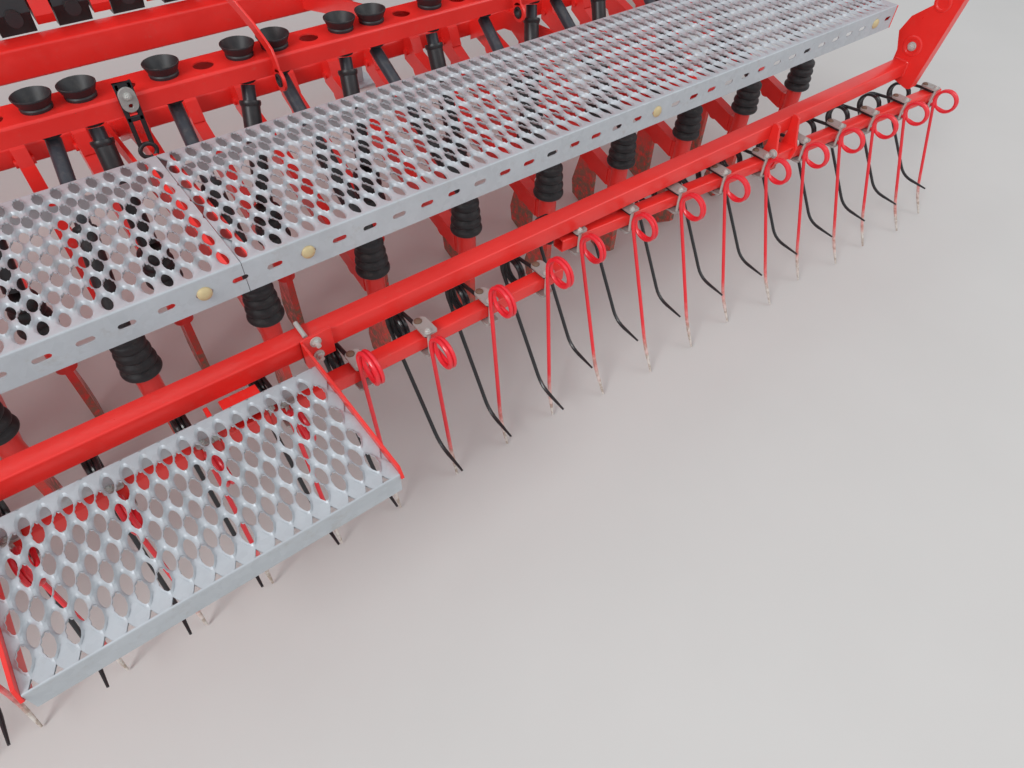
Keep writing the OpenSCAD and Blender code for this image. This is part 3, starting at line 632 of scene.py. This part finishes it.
def plank_piece(name, x0, x1, node, rows, first_y, first_x, raised_row, slotted, body):
    """One galvanised plank with its grating and folded edges."""
    mesh = Mesh()
    a, b = low(node), high(node)
    y0, y1, z, h = a.y, b.y, b.z, b.z - a.z
    grating(mesh, x0, x1, y0 + FOLD, y1 - FOLD, z, rows, first_y, first_x, raised_row)
    slots, start, end = [], (), ()
    if slotted:
        for k in range(math.floor(x0 / SLOT_PITCH), math.ceil(x1 / SLOT_PITCH) + 1):
            u = k * SLOT_PITCH + SLOT_SHIFT
            if x0 + SLOT_L / 2 + 3 < u < x1 - SLOT_L / 2 - 3:
                slots.append(slot_loop(u, z - SLOT_DROP, SLOT_L, SLOT_H))
        if x0 > SLOT_SHIFT:
            start = notch(x0, z - SLOT_DROP, x0 - SLOT_SHIFT - SLOT_L / 2)
        else:
            end = notch(x1, z - SLOT_DROP, x1 - SLOT_SHIFT + SLOT_L / 2)
    fold(mesh, x0, x1, y0, -1, z, h, slots, start=start, end=end)
    fold(mesh, x0, x1, y1, 1, z, h, slots)
    finish_piece(name, mesh, "galvanised", body, [node])


def planks():
    """The two planks of the walkway with their bolts, and the step."""
    a, b = low("walkway_left"), high("walkway_right")
    first = a.y + CELL_Y + 1
    for name, node, x0, x1 in (("plank_left", "walkway_left", a.x, high("walkway_left").x),
                               ("plank_right", "walkway_right", low("walkway_right").x, b.x)):
        start = CELL_START + math.floor((x0 - CELL_START) / CELL_X) * CELL_X
        plank_piece(name, x0, x1, node, WALKWAY_ROWS, first, start, 1, True, "frame")
    heads = Mesh()
    for k in BOLTED_SLOTS:
        dome(heads, at(k * SLOT_PITCH + SLOT_SHIFT, a.y, b.z - SLOT_DROP), (0, -1, 0), *PLANK_BOLT)
    finish_piece("plank_bolt_heads", heads, "brass_zinc", "frame")
    a, b = low("step_plank"), high("step_plank")
    first_y, first_x = b.y - STEP_ROWS * CELL_Y - 4, a.x - CELL_X / 2
    plank_piece("step_grating", a.x, b.x, "step_plank", STEP_ROWS, first_y, first_x, 0, False, "harrow")


# Bars and plates

def bend(points, radius, steps=5):
    """A path with its corners rounded."""
    path = [points[0]]
    for a, b, c in zip(points, points[1:], points[2:]):
        reach = min(radius, (b - a).length / 2, (c - b).length / 2)
        start = b + (a - b).normalized() * reach
        end = b + (c - b).normalized() * reach
        for k in range(steps + 1):
            f = k / steps
            path.append(start.lerp(b, f).lerp(b.lerp(end, f), f))
    path.append(points[-1])
    return path


def in_frame(points):
    """Places in millimetres turned into points."""
    return [at(*p) for p in points]


LEAST_ROUND = 0.8


def square_tube(mesh, x0, x1, a, b, wall, radius):
    """An open tube along X between two corners across it, with rounded edges."""

    def ring(x, inset):
        r = max(radius - inset, LEAST_ROUND)
        corners = ((b.y - inset - r, b.z - inset - r, 0), (a.y + inset + r, b.z - inset - r, 1),
                   (a.y + inset + r, a.z + inset + r, 2), (b.y - inset - r, a.z + inset + r, 3))
        return [at(x, y + r * math.cos(t), z + r * math.sin(t)) for y, z, q in corners
                for t in (math.pi / 2 * (q + k / 4) for k in range(5))]

    mesh.grid([ring(x0, wall), ring(x0, 0), ring(x1, 0), ring(x1, wall)], close_rows=True)


def plate_yz(mesh, x0, x1, outline, holes=()):
    """A plate across X from an outline in Y and Z."""
    plate(mesh, outline, holes, lambda u, v, d: at(x0 + d, u, v), x1 - x0)


# Node, body, wall, round of the edges.
TUBES = (
    ("rear_beam", "frame", 8, 7),
    ("front_beam", "frame", 8, 7),
    ("coulter_beam", "frame", 6, 7),
    ("harrow_tube", "harrow", 4, 4),
)


def beams():
    """The square tubes along X, open at their ends."""
    for node, body, wall, radius in TUBES:
        mesh = Mesh()
        a, b = low(node), high(node)
        square_tube(mesh, a.x, b.x, a, b, wall, radius)
        finish_piece(node + "_tube", mesh, "red_paint", body, [node])


# Harrow

WIRE = 8.5
COIL_R = 34.0
COIL_STEPS = 24
BAR = 30
BAR_END = 45
BAR_WALL = 3
BAR_ROUND = 3.5
WIRE_GAP = 0.4
# Middle along X, number of tines, pitch, the bar's rear top edge along Y and Z, that edge's slopes along X,
# and the red legs' lean.
SEGMENTS = (
    (-1362, 10, 150, -62, 374, 0, 0, 0.24),
    (-18, 9, 142, -75, 377, 0, 0, 0.12),
    (1362, 10, 150, -49, 369, -0.0435, -0.029, 0.33),
)
# Tines of the middle segment whose ends lie over the bar, so that their coils stand higher.
RAISED = (5, 7, 8)
MIDDLE = 1
# Coils' middles along Y and Z from the bar's rear top edge, and their turns.
RED_COIL = (-44, -10)
RAISED_COIL = (-38, 36)
BLACK_COIL = (86, -32)
BLACK_SHIFT = -18
RED_TURNS = 1.75
BLACK_TURNS = 2.25
# Heights of a red tine's knee and tip; a black one's knee and tip along Y from its coil, and their heights.
RED_KNEE_Z = 72
RED_TIP_Z = 5
BLACK_KNEE = (-126, 100)
BLACK_TIP = (-205, 94)
# Radii of a leg's and an end's bend, in metres.
LEG_BEND = 0.03
END_BEND = 0.012
TIP_TAPER = 0.55
# Clamp: half width along X, ends along Y, the rounds of its rear and front corners, plates' thickness, and
# the bolts' places along Y and radius.
CLAMP_HALF = 15
CLAMP_ENDS = (-9, 39)
CLAMP_ROUNDS = (5, 9)
CLAMP_T = 5
CLAMP_BOLT_YS = (-5.1, 35.1)
CLAMP_BOLT_R = 3.5


def on_bar(segment, x, y=0.0, z=0.0):
    """A place counted from the rear top edge of a segment's bar, x from the segment's middle."""
    return segment[0] + x, segment[3] + x * segment[5] + y, segment[4] + x * segment[6] + z


def coil(centre, start, end, width):
    """Points of a winding between two angles, counted from its forward side upward."""
    x, y, z = centre
    r = COIL_R - WIRE / 2
    count = int((end - start) / 2 / math.pi * COIL_STEPS)
    turn = [start + (end - start) * k / count for k in range(count + 1)]
    return [(x + width * (k / count - 0.5), y + r * math.cos(t), z + r * math.sin(t))
            for k, t in enumerate(turn)]


def tine(mesh, centre, knee, tip, turns, end):
    """One tine from its tip to its end on the bar. Knee and tip: along X and Y from the coil, and height."""
    x, y, z = centre
    r = COIL_R - WIRE / 2
    width = turns * (WIRE + 0.1)
    lean = math.atan2(r - knee[1], z - knee[2])
    x0 = x - width / 2
    foot = [(x0 + tip[0], y + tip[1], tip[2]), (x0 + knee[0], y + knee[1], knee[2]),
            (x0, y + r * math.cos(lean), z - r * math.sin(lean))]
    leg = bend(in_frame(foot), LEG_BEND)
    winding = in_frame(coil(centre, -lean, turns * 2 * math.pi, width))
    tail = bend([winding[-1]] + [at(x + width / 2, *p) for p in end], END_BEND)
    path = leg[:-1] + winding + tail[1:]
    radius = [WIRE / 2 * MM] * len(path)
    radius[0] *= TIP_TAPER
    sweep(mesh, path, radius, 10)


def clamp(plates, bolts, rusty, segment, x):
    """Two plates across the bar with a nut at the rear and a rusty round head at the front."""
    base = on_bar(segment, x - 1)
    top = WIRE + 2 * WIRE_GAP
    rear, front = CLAMP_ENDS
    outline = []
    half = CLAMP_HALF
    for q, (u, v) in enumerate(((half, front), (-half, front), (-half, rear), (half, rear))):
        r = CLAMP_ROUNDS[v == front]
        cu, cv = u - math.copysign(r, u), v - math.copysign(r, v)
        outline += [(cu + r * math.cos(t), cv + r * math.sin(t))
                    for t in (math.pi / 2 * (q + k / 4) for k in range(5))]
    for z in (top, -BAR - top - CLAMP_T):
        plate(plates, outline, [],
              lambda u, v, d, z=z: at(base[0] + u, base[1] + v, base[2] + z + d), CLAMP_T)
    bolt_x = base[0] - 4
    for y in CLAMP_BOLT_YS:
        shank = [(CLAMP_BOLT_R * MM, 0), (CLAMP_BOLT_R * MM, (BAR + 2 * top + 3) * MM)]
        lathe(bolts, at(bolt_x, base[1] + y, base[2] - BAR - top - 3), (0, 0, 1), shank, 12)
    bolt(bolts, at(bolt_x, base[1] - 3, base[2] + top + CLAMP_T), (0, 0, 1), 0.0062)
    dome(rusty, at(bolt_x, base[1] + 31, base[2] + top + CLAMP_T), (0, 0, 1), 0.008, 0.0045)


def askew_tube(mesh, segment, x0, x1):
    """A segment's bar: an open square tube that follows the segment's slopes."""

    def ring(x, inset):
        r = max(BAR_ROUND - inset, LEAST_ROUND)
        near, far = inset + r, BAR - inset - r
        corners = ((far, -near), (near, -near), (near, -far), (far, -far))
        return [at(*on_bar(segment, x, y + r * math.cos(t), z + r * math.sin(t)))
                for q, (y, z) in enumerate(corners) for t in (math.pi / 2 * (q + k / 4) for k in range(5))]

    mesh.grid([ring(x0, BAR_WALL), ring(x0, 0), ring(x1, 0), ring(x1, BAR_WALL)], close_rows=True)


def harrow_tines():
    """The segments' bars with their red and black tines and the clamps."""
    scatter = random.Random(5)
    red, black, plates, bolts, rusty, bars = (Mesh() for _ in range(6))
    over = WIRE_GAP + WIRE / 2
    for s, segment in enumerate(SEGMENTS):
        _, count, pitch, _, _, _, _, lean = segment
        reach = (count - 1) * pitch / 2 + BAR_END
        askew_tube(bars, segment, -reach, reach)
        for k in range(count):
            x = (k - (count - 1) / 2) * pitch
            raised = s == MIDDLE and k in RAISED
            _, edge, top = on_bar(segment, x)
            place = on_bar(segment, x, *(RAISED_COIL if raised else RED_COIL))
            slope = lean + scatter.uniform(-0.03, 0.03)
            side = scatter.uniform(-4, 4)
            knee_y = COIL_R - WIRE / 2 - (place[2] - RED_KNEE_Z) * slope
            tip_y = knee_y - 68 * (slope + scatter.uniform(0.1, 0.3))
            wire_z = top + over if raised else top - BAR - over
            tine(red, place, (side, knee_y, RED_KNEE_Z), (side * 1.3, tip_y, RED_TIP_Z), RED_TURNS,
                 [(edge - 2, wire_z), (edge + BAR + 3, wire_z)])
            place = on_bar(segment, x + BLACK_SHIFT, *BLACK_COIL)
            side, trail = scatter.uniform(-4, 4), scatter.uniform(-6, 6)
            tine(black, place, (side, BLACK_KNEE[0] + trail, BLACK_KNEE[1]),
                 (side * 1.5, BLACK_TIP[0] + trail, BLACK_TIP[1]), BLACK_TURNS,
                 [(edge + BAR + 2, top + over), (edge - 3, top + over)])
            clamp(plates, bolts, rusty, segment, x)
    finish_piece("red_tine_wires", red, "red_wire", "harrow", ["red_tines"])
    finish_piece("black_tine_wires", black, "black_wire", "harrow", ["black_tines"])
    finish_piece("tine_clamp_plates", plates, "clamp_zinc", "harrow", ["tine_clamps"], 0.0008)
    finish_piece("tine_clamp_bolts", bolts, "bolt_zinc", "harrow")
    finish_piece("tine_clamp_heads", rusty, "rust", "harrow")
    finish_piece("segment_bar_tubes", bars, "red_paint", "harrow", ["segment_bars"])


# Ends of a segment bracket along X, and the thickness of its plates.
BRACKET_X = (-50, 36)
BRACKET_T = 8


def segment_brackets():
    """Plates that hang each segment from the cross tube, with a floor over the bar and two bolts."""
    mesh, bolts = Mesh(), Mesh()
    tube = low("harrow_tube")
    y, top, bottom = tube.y - 0.3, high("harrow_tube").z, tube.z
    for s, segment in enumerate(SEGMENTS):
        dx = -segment[2] / 2 if s == MIDDLE else 0
        x, sy, sz = on_bar(segment, dx)
        foot = [(y, bottom - 3), (sy + BAR + 8, sz - 5), (sy + BAR + 5, sz - BAR), (sy - 4, sz - BAR)]
        if s == MIDDLE:
            outline = [*foot, (sy - 4, sz + 8), (sy + 10, bottom - 8)]
            box(mesh, at(x - 24, sy + 2, bottom - 8), at(x + 41, y, bottom - 3))
        else:
            outline = [(y, top + 6), *foot, (sy - 9, sz - 14), (sy - 12, sz + 4), (sy - 4, sz + 18),
                       (y - 22, top - 12), (y - 20, top + 2), (y - 12, top + 6)]
        x0, x1 = x + BRACKET_X[0], x + BRACKET_X[1]
        plate_yz(mesh, x0, x0 + BRACKET_T, outline)
        plate_yz(mesh, x1 - BRACKET_T, x1, outline)
        box(mesh, at(x0, sy - 4, sz + 2), at(x1, sy + BAR + 4, sz + 8))
        bolt(bolts, at(x1, sy + 2, sz + 12), (1, 0, 0), 0.010)
        bolt(bolts, at(x0, sy + 2, sz + 12), (-1, 0, 0), 0.010)
    finish_piece("segment_bracket_plates", mesh, "red_paint", "harrow", ["segment_brackets"],
                 0.001)
    finish_piece("segment_bracket_bolts", bolts, "bolt_zinc", "harrow")


SIDE_T = 5
FLANGE_T = 6
FLANGE_W = 58
BIG_WASHER = ((0.0, 0.0), (0.0105, 0.0), (0.0105, 0.002), (0.0, 0.002))
THREAD = ((0.0045, 0.002), (0.0045, 0.014), (0.0, 0.0145))
U_BOLT_END = ((0.0, 0), (0.0045, 0), (0.0045, 0.036))


def step_sides():
    """The step's side plates, with bolted flanges on the cross tube and the ends of their U bolts."""
    mesh, bolts = Mesh(), Mesh()
    step, top, tube = low("step_plank"), high("step_plank"), low("harrow_tube")
    face, height = tube.y - 0.3, high("harrow_tube").z
    outline = [(step.y - 4, top.z - 8), (step.y + 6, top.z + 10), (face, top.z + 12), (face, tube.z - 10),
               (top.y, step.z - 4), (step.y + 30, step.z - 4)]
    for side, x in ((1, top.x + 0.3), (-1, step.x - 0.3)):
        plate_yz(mesh, min(x, x + side * SIDE_T), max(x, x + side * SIDE_T), outline)
        far = x + side * FLANGE_W
        flange = [(x, height + 5), (x, tube.z - 9), (far, tube.z - 9), (far, height + 8),
                  (x + side * (FLANGE_W - 12), height + 8)]
        plate(mesh, flange[::-side], [], lambda u, v, d: at(u, face - FLANGE_T + d, v), FLANGE_T)
        for z in (height - 7, tube.z + 1):
            place = at(x + side * 26, face - FLANGE_T, z)
            lathe(bolts, place, (0, -1, 0), BIG_WASHER, 16)
            bolt(bolts, place, (0, -1, 0), 0.0075)
            lathe(bolts, place, (0, -1, 0), THREAD, 12)
        lathe(bolts, at(x + side * 14, face + 3, height + 4), (0, 1, 0.15), U_BOLT_END, 12)
    finish_piece("step_side_plates", mesh, "red_paint", "harrow", ["step_sides"], 0.001)
    finish_piece("step_side_bolts", bolts, "bolt_zinc", "harrow")


# Outline in Y and Z, its folded rear and front edges with their widths, and what is bolted or pressed on it.
ARM_OUTLINE = ((-54, 382), (-47, 379), (-38, 379), (27, 397), (27, 465), (44, 511), (27, 555), (-30, 609),
               (-62, 655), (-20, 711), (643, 640), (680, 622), (703, 616), (727, 626), (737, 650),
               (727, 674), (703, 684), (643, 700), (-20, 770), (-70, 762), (-96, 745), (-104, 695),
               (-86, 625), (-64, 455))
ARM_REAR = ((-54, 384), (-64, 455), (-86, 625), (-104, 695), (-96, 745), (-70, 762))
ARM_FRONT = ((44, 511), (27, 465), (27, 399))
REAR_FLANGE = 26
FRONT_FLANGE = 12
ARM_T = 5
ARM_BOLT = (-10, 487)
ARM_RING = (-38, 608)
ARM_HOLE = (5, 498, 4.5)
ARM_PIVOT = (703, 650)
PIVOT_BOSS = ((0.034, 0), (0.034, 0.05), (0.026, 0.05))
TUBE_WELD = ((19, 445), (-19, 445), (-19, 405), (19, 405), (19, 445))
WELD_R = 0.004


def folded_edge(mesh, edge, x0, x1, depth):
    """A flange along an edge of a plate, from x0 to x1, and depth thick along Y."""
    outer = [[at(x, y, z) for y, z in edge] for x in (x0, x1)]
    inner = [[p + Vector((0, depth * MM, 0)) for p in row] for row in outer]
    mesh.grid([outer[0], outer[1], inner[1], inner[0]], close_rows=True, close_points=False)


def harrow_arms():
    """The plates at both ends that carry the cross tube and swing on the side frames."""
    mesh, bolts = Mesh(), Mesh()
    plate_x = high("harrow_arms").x - 18
    for s in (1, -1):
        inner = s * plate_x
        outer = inner + s * ARM_T
        plate_yz(mesh, inner, outer, ARM_OUTLINE, [circle(*ARM_HOLE)])
        for (y, z), r in ((ARM_BOLT, 28), (ARM_RING, 24)):
            ring = [(r * MM, 0), ((r - 3) * MM, 0.003), ((r - 8) * MM, 0.0035), ((r - 10) * MM, 0.0012),
                    (0.008, 0.001)]
            lathe(mesh, at(inner, y, z), (-s, 0, 0), ring, 32)
        bolt(bolts, at(inner - s * 2, *ARM_BOLT), (-s, 0, 0), 0.0105)
        folded_edge(mesh, ARM_REAR, outer, outer + s * REAR_FLANGE, ARM_T)
        folded_edge(mesh, ARM_FRONT, outer, outer + s * FRONT_FLANGE, -ARM_T)
        lathe(mesh, at(inner - s * 22, *ARM_PIVOT), (s, 0, 0), PIVOT_BOSS, 32)
        weld = [at(inner - s, y, z) for y, z in TUBE_WELD]
        sweep(mesh, bend(weld, WELD_R, 2), WELD_R, 6)
    finish_piece("harrow_arm_plates", mesh, "red_paint", "harrow", ["harrow_arms"], 0.0007)
    finish_piece("harrow_arm_bolts", bolts, "bolt_zinc", "harrow")


# Funnels, rail and seed tubes

ROWS = 30
ROW_PITCH = 125
# Places along Y of the even and the odd rows' bellows.
RANK_Y = (460, 231)
FUNNEL_Y = 550
FUNNEL_PITCH = 75
# How far a row's funnel lies from the row, for each of three rows in turn.
FUNNEL_SHIFTS = (34.5, 59.5, 9.5)
# The row whose funnel hangs one hole nearer.
NEAR_ROW = 19
RAIL_HOLES = 50
RAIL_HOLE_R = 20
RAIL_MIDDLE = 22
RAIL_SHEET = 3
RAIL_ROUND = 5
BELLOWS_FOOT = 302
BELLOWS_H = 88
TUBE_R = 14
SLEEVE_R = 19
SLEEVE_L = 205


def row_x(i):
    """Place of a row along X."""
    return (i - (ROWS - 1) / 2) * ROW_PITCH


def funnel_x(i):
    """Place of a row's funnel along X."""
    return row_x(i) + FUNNEL_SHIFTS[i % 3] - (FUNNEL_PITCH if i == NEAR_ROW else 0)


def funnel_rail():
    """The folded rail with its row of holes."""
    mesh = Mesh()
    a, b = low("funnel_rail"), high("funnel_rail")
    holes = [circle(RAIL_MIDDLE + (k - RAIL_HOLES // 2) * FUNNEL_PITCH, FUNNEL_Y, RAIL_HOLE_R, 24)
             for k in range(RAIL_HOLES)]
    rear, front = a.y + RAIL_ROUND, b.y - RAIL_ROUND
    outline = [(a.x, rear), (b.x, rear), (b.x, front), (a.x, front)]
    plate(mesh, outline, holes, lambda u, v, d: at(u, v, b.z - d), RAIL_SHEET)
    for y, side in ((a.y, -1), (b.y, 1)):
        fold(mesh, a.x, b.x, y, side, b.z, b.z - a.z, [], RAIL_ROUND, RAIL_SHEET)
    finish_piece("funnel_rail_sheet", mesh, "red_paint", "frame", ["funnel_rail"])


# Radius and height above the rail of a funnel's closed section.
FUNNEL_PROFILE = ((27, 0.3), (27.6, 5), (26, 7.5), (27.2, 9.5), (32.6, 21), (33.6, 22.5), (33.6, 24.6),
                  (32.4, 25.2), (31.2, 23.6), (24.5, 9), (18.2, 2), (17.5, -42), (6, -44), (6, -50),
                  (19.3, -50), (19.3, 0.3))
FUNNEL_TILT = 0.02


def funnels():
    """Rubber funnels in the rail, each a little tilted."""
    scatter = random.Random(8)
    mesh = Mesh()
    top = high("funnel_rail").z
    profile = [(r * MM, d * MM) for r, d in FUNNEL_PROFILE]
    for i in range(ROWS):
        tilt_x, tilt_y = (scatter.uniform(-FUNNEL_TILT, FUNNEL_TILT) for _ in range(2))
        lathe(mesh, at(funnel_x(i), FUNNEL_Y, top), (tilt_x, tilt_y, 1), profile, 32, True)
    finish_piece("rubber_funnels", mesh, "rubber", "frame", ["funnels"])


def ribbon(mesh, path, half, thick):
    """A flat strip on edge, half as wide as stated to each side of its path, and thick along X."""
    rings = []
    for k, (x, y, z) in enumerate(path):
        before, after = path[max(k - 1, 0)], path[min(k + 1, len(path) - 1)]
        way = Vector((after[1] - before[1], after[2] - before[2])).normalized() * half
        rings.append([at(x, y - way.y, z + way.x), at(x, y + way.y, z - way.x),
                      at(x + thick, y + way.y, z - way.x), at(x + thick, y - way.y, z + way.x)])
    mesh.grid(rings)
    mesh.cap(rings[0], flip=True)
    mesh.cap(rings[-1])


HOOK_XS = (295, 905)
HOOK_EYE = ((0.0215, 0), (0.0215, 0.006), (0.013, 0.006), (0.013, 0))
HOOK_BUSH = ((0.0128, 0), (0.0128, 0.012), (0.0085, 0.012), (0.0085, 0))


def rail_hooks():
    """Strips with a bushed eye that hang behind the rail and reach over it to the beam."""
    mesh, bush = Mesh(), Mesh()
    a, b = low("funnel_rail"), high("funnel_rail")
    y, z = a.y - 23, a.z - 3
    for x in HOOK_XS:
        lathe(mesh, at(x - 3, y, z), (1, 0, 0), HOOK_EYE, 32, True)
        lathe(bush, at(x - 6, y, z), (1, 0, 0), HOOK_BUSH, 24, True)
        path = [(x - 3, y + 4, z + 14), (x - 3, y + 9, z + 34), (x - 3, y + 17, b.z + 12),
                (x - 5, y + 36, b.z + 24), (x - 10, y + 66, b.z + 46), (x - 22, y + 100, b.z + 76),
                (x - 34, y + 122, b.z + 99)]
        ribbon(mesh, path, 12, 5)
    finish_piece("rail_hook_lugs", mesh, "red_paint", "frame", ["rail_hooks"], 0.0008)
    finish_piece("rail_hook_bushes", bush, "rubber", "frame")


# The strap's middle along X, its half width, and its legs' width and thickness.
STRAP_X = 12
STRAP_HALF = 15
STRAP_LEG = 8
STRAP_T = 6


def rubber_strap():
    """A rubber strap under a round-ended plate on the rail's rear face."""
    metal, black, bolts = Mesh(), Mesh(), Mesh()
    a, b = low("funnel_rail"), high("funnel_rail")
    y0, y1 = a.y - STRAP_T, a.y - 0.3
    outline = []
    for cz, start in ((b.z + 5, 0), (b.z - 11, math.pi)):
        outline += [(STRAP_X + STRAP_HALF * math.cos(start + t), cz + STRAP_HALF * math.sin(start + t))
                    for t in (math.pi * k / 10 for k in range(11))]
    hole = circle(STRAP_X, b.z - 14, 4)
    plate(metal, outline, [hole], lambda u, v, d: at(u, y0 - STRAP_T + d, v), 5)
    bolt(bolts, at(STRAP_X, y0 - STRAP_T, b.z + 4), (0, -1, 0), 0.0065)
    x0, x1 = STRAP_X - STRAP_HALF, STRAP_X + STRAP_HALF
    for x in (x0, x1 - STRAP_LEG):
        box(black, at(x, y0, b.z - 100), at(x + STRAP_LEG, y1, b.z + 26))
    for z0, z1 in ((-46, -36), (14, 26)):
        box(black, at(x0, y0, b.z + z0), at(x1, y1, b.z + z1))
    ring = [at(STRAP_X + STRAP_HALF * math.cos(t), a.y - 5 + 2 * math.sin(t), b.z - 106 + 13 * math.sin(t))
            for t in (2 * math.pi * k / 24 for k in range(24))]
    sweep(black, ring, 0.0045, 8, True)
    finish_piece("strap_plate", metal, "clamp_zinc", "frame", bevel=0.0008)
    finish_piece("strap_bolt", bolts, "bolt_zinc", "frame")
    finish_piece("strap_rubber", black, "rubber", "frame", ["rubber_strap"], 0.0015)


# How far below the rail's top a tube starts, and how far above the bellows a sleeve does.
TUBE_DROP = 60
SLEEVE_RISE = 14
# Radius from the sleeve's or the tube's, and distance from the sleeve's upper end.
SLEEVE_LIP = ((0, -12), (2, -9), (3, -4), (2, 0), (-2, 0))
SLEEVE_BORE = ((1, -4), (1, -30))


def seed_tubes():
    """A tube from each funnel into the lipped sleeve on its bellows."""
    tubes, sleeves = Mesh(), Mesh()
    start_z = high("funnel_rail").z - TUBE_DROP
    foot_z = BELLOWS_FOOT + BELLOWS_H + SLEEVE_RISE
    profile = [(SLEEVE_R, 0)] + [(SLEEVE_R + r, SLEEVE_L + d) for r, d in SLEEVE_LIP]
    profile += [(TUBE_R + r, SLEEVE_L + d) for r, d in SLEEVE_BORE]
    profile = [(r * MM, d * MM) for r, d in profile]
    for i in range(ROWS):
        top = at(funnel_x(i), FUNNEL_Y, start_z)
        foot = at(row_x(i), RANK_Y[i % 2], foot_z)
        way = (top - foot).normalized()
        sweep(tubes, [top, foot + way * (SLEEVE_L - 30) * MM], TUBE_R * MM, 20)
        lathe(sleeves, foot, way, profile, 24)
    finish_piece("seed_tube_pipes", tubes, "grey_tube", "frame", ["seed_tubes"])
    finish_piece("seed_sleeve_pipes", sleeves, "black_plastic", "frame", ["seed_sleeves"])


# Number of folds, shares of a fold at which its section has a point, and the folds' inner radius and bulge
# with how much each loses from one fold to the next.
FOLDS = 4
FOLD_STEPS = (0.05, 0.14, 0.26, 0.4, 0.55, 0.7, 0.82, 0.92)
FOLD_R = (27.5, -0.6)
FOLD_BULGE = (10.4, -1.5)


def bellows():
    """Rubber bellows that taper towards the sleeves."""
    mesh = Mesh()
    profile = [(14, 0), (27, 0)]
    for k in range(FOLDS):
        for f in FOLD_STEPS:
            bulge = (1 - abs(2 * f - 1) ** 2.6) * (FOLD_BULGE[0] + FOLD_BULGE[1] * k)
            profile.append((FOLD_R[0] + FOLD_R[1] * k + bulge, BELLOWS_H * (k + f) / FOLDS))
    profile += [(22.5, BELLOWS_H), (19.5, BELLOWS_H + 6), (4, BELLOWS_H + 6)]
    profile = [(r * MM, d * MM) for r, d in profile]
    for i in range(ROWS):
        lathe(mesh, at(row_x(i), RANK_Y[i % 2], BELLOWS_FOOT), (0, 0, 1), profile, 32)
    finish_piece("rubber_bellows", mesh, "rubber", "frame", ["bellows"])


def dress():
    """All pieces that stand for CAD nodes or add small parts to them."""
    planks()
    beams()
    funnel_rail()
    funnels()
    rail_hooks()
    rubber_strap()
    seed_tubes()
    bellows()
    harrow_tines()
    segment_brackets()
    step_sides()
    harrow_arms()


# Half the floor's side in metres, and the two tones of its colour.
FLOOR_HALF = 30
FLOOR_TONES = ((0.62, 0.61, 0.59), (0.66, 0.65, 0.63))


def floor():
    """A plain pale floor under the wheels."""
    mesh = bpy.data.meshes.new("floor")
    h = FLOOR_HALF
    mesh.from_pydata([(-h, -h, 0), (h, -h, 0), (h, h, 0), (-h, h, 0)], [], [[0, 1, 2, 3]])
    piece = bpy.data.objects.new("floor", mesh)
    net = Net("floor")
    tone = net.mix(net.noise(3, 3), *FLOOR_TONES)
    mesh.materials.append(net.done(tone, 0.9))
    bpy.context.scene.collection.objects.link(piece)


bpy.context.scene.view_settings.view_transform = "Standard"
place_camera()
place_lights()
floor()
dress_nodes()
dress()
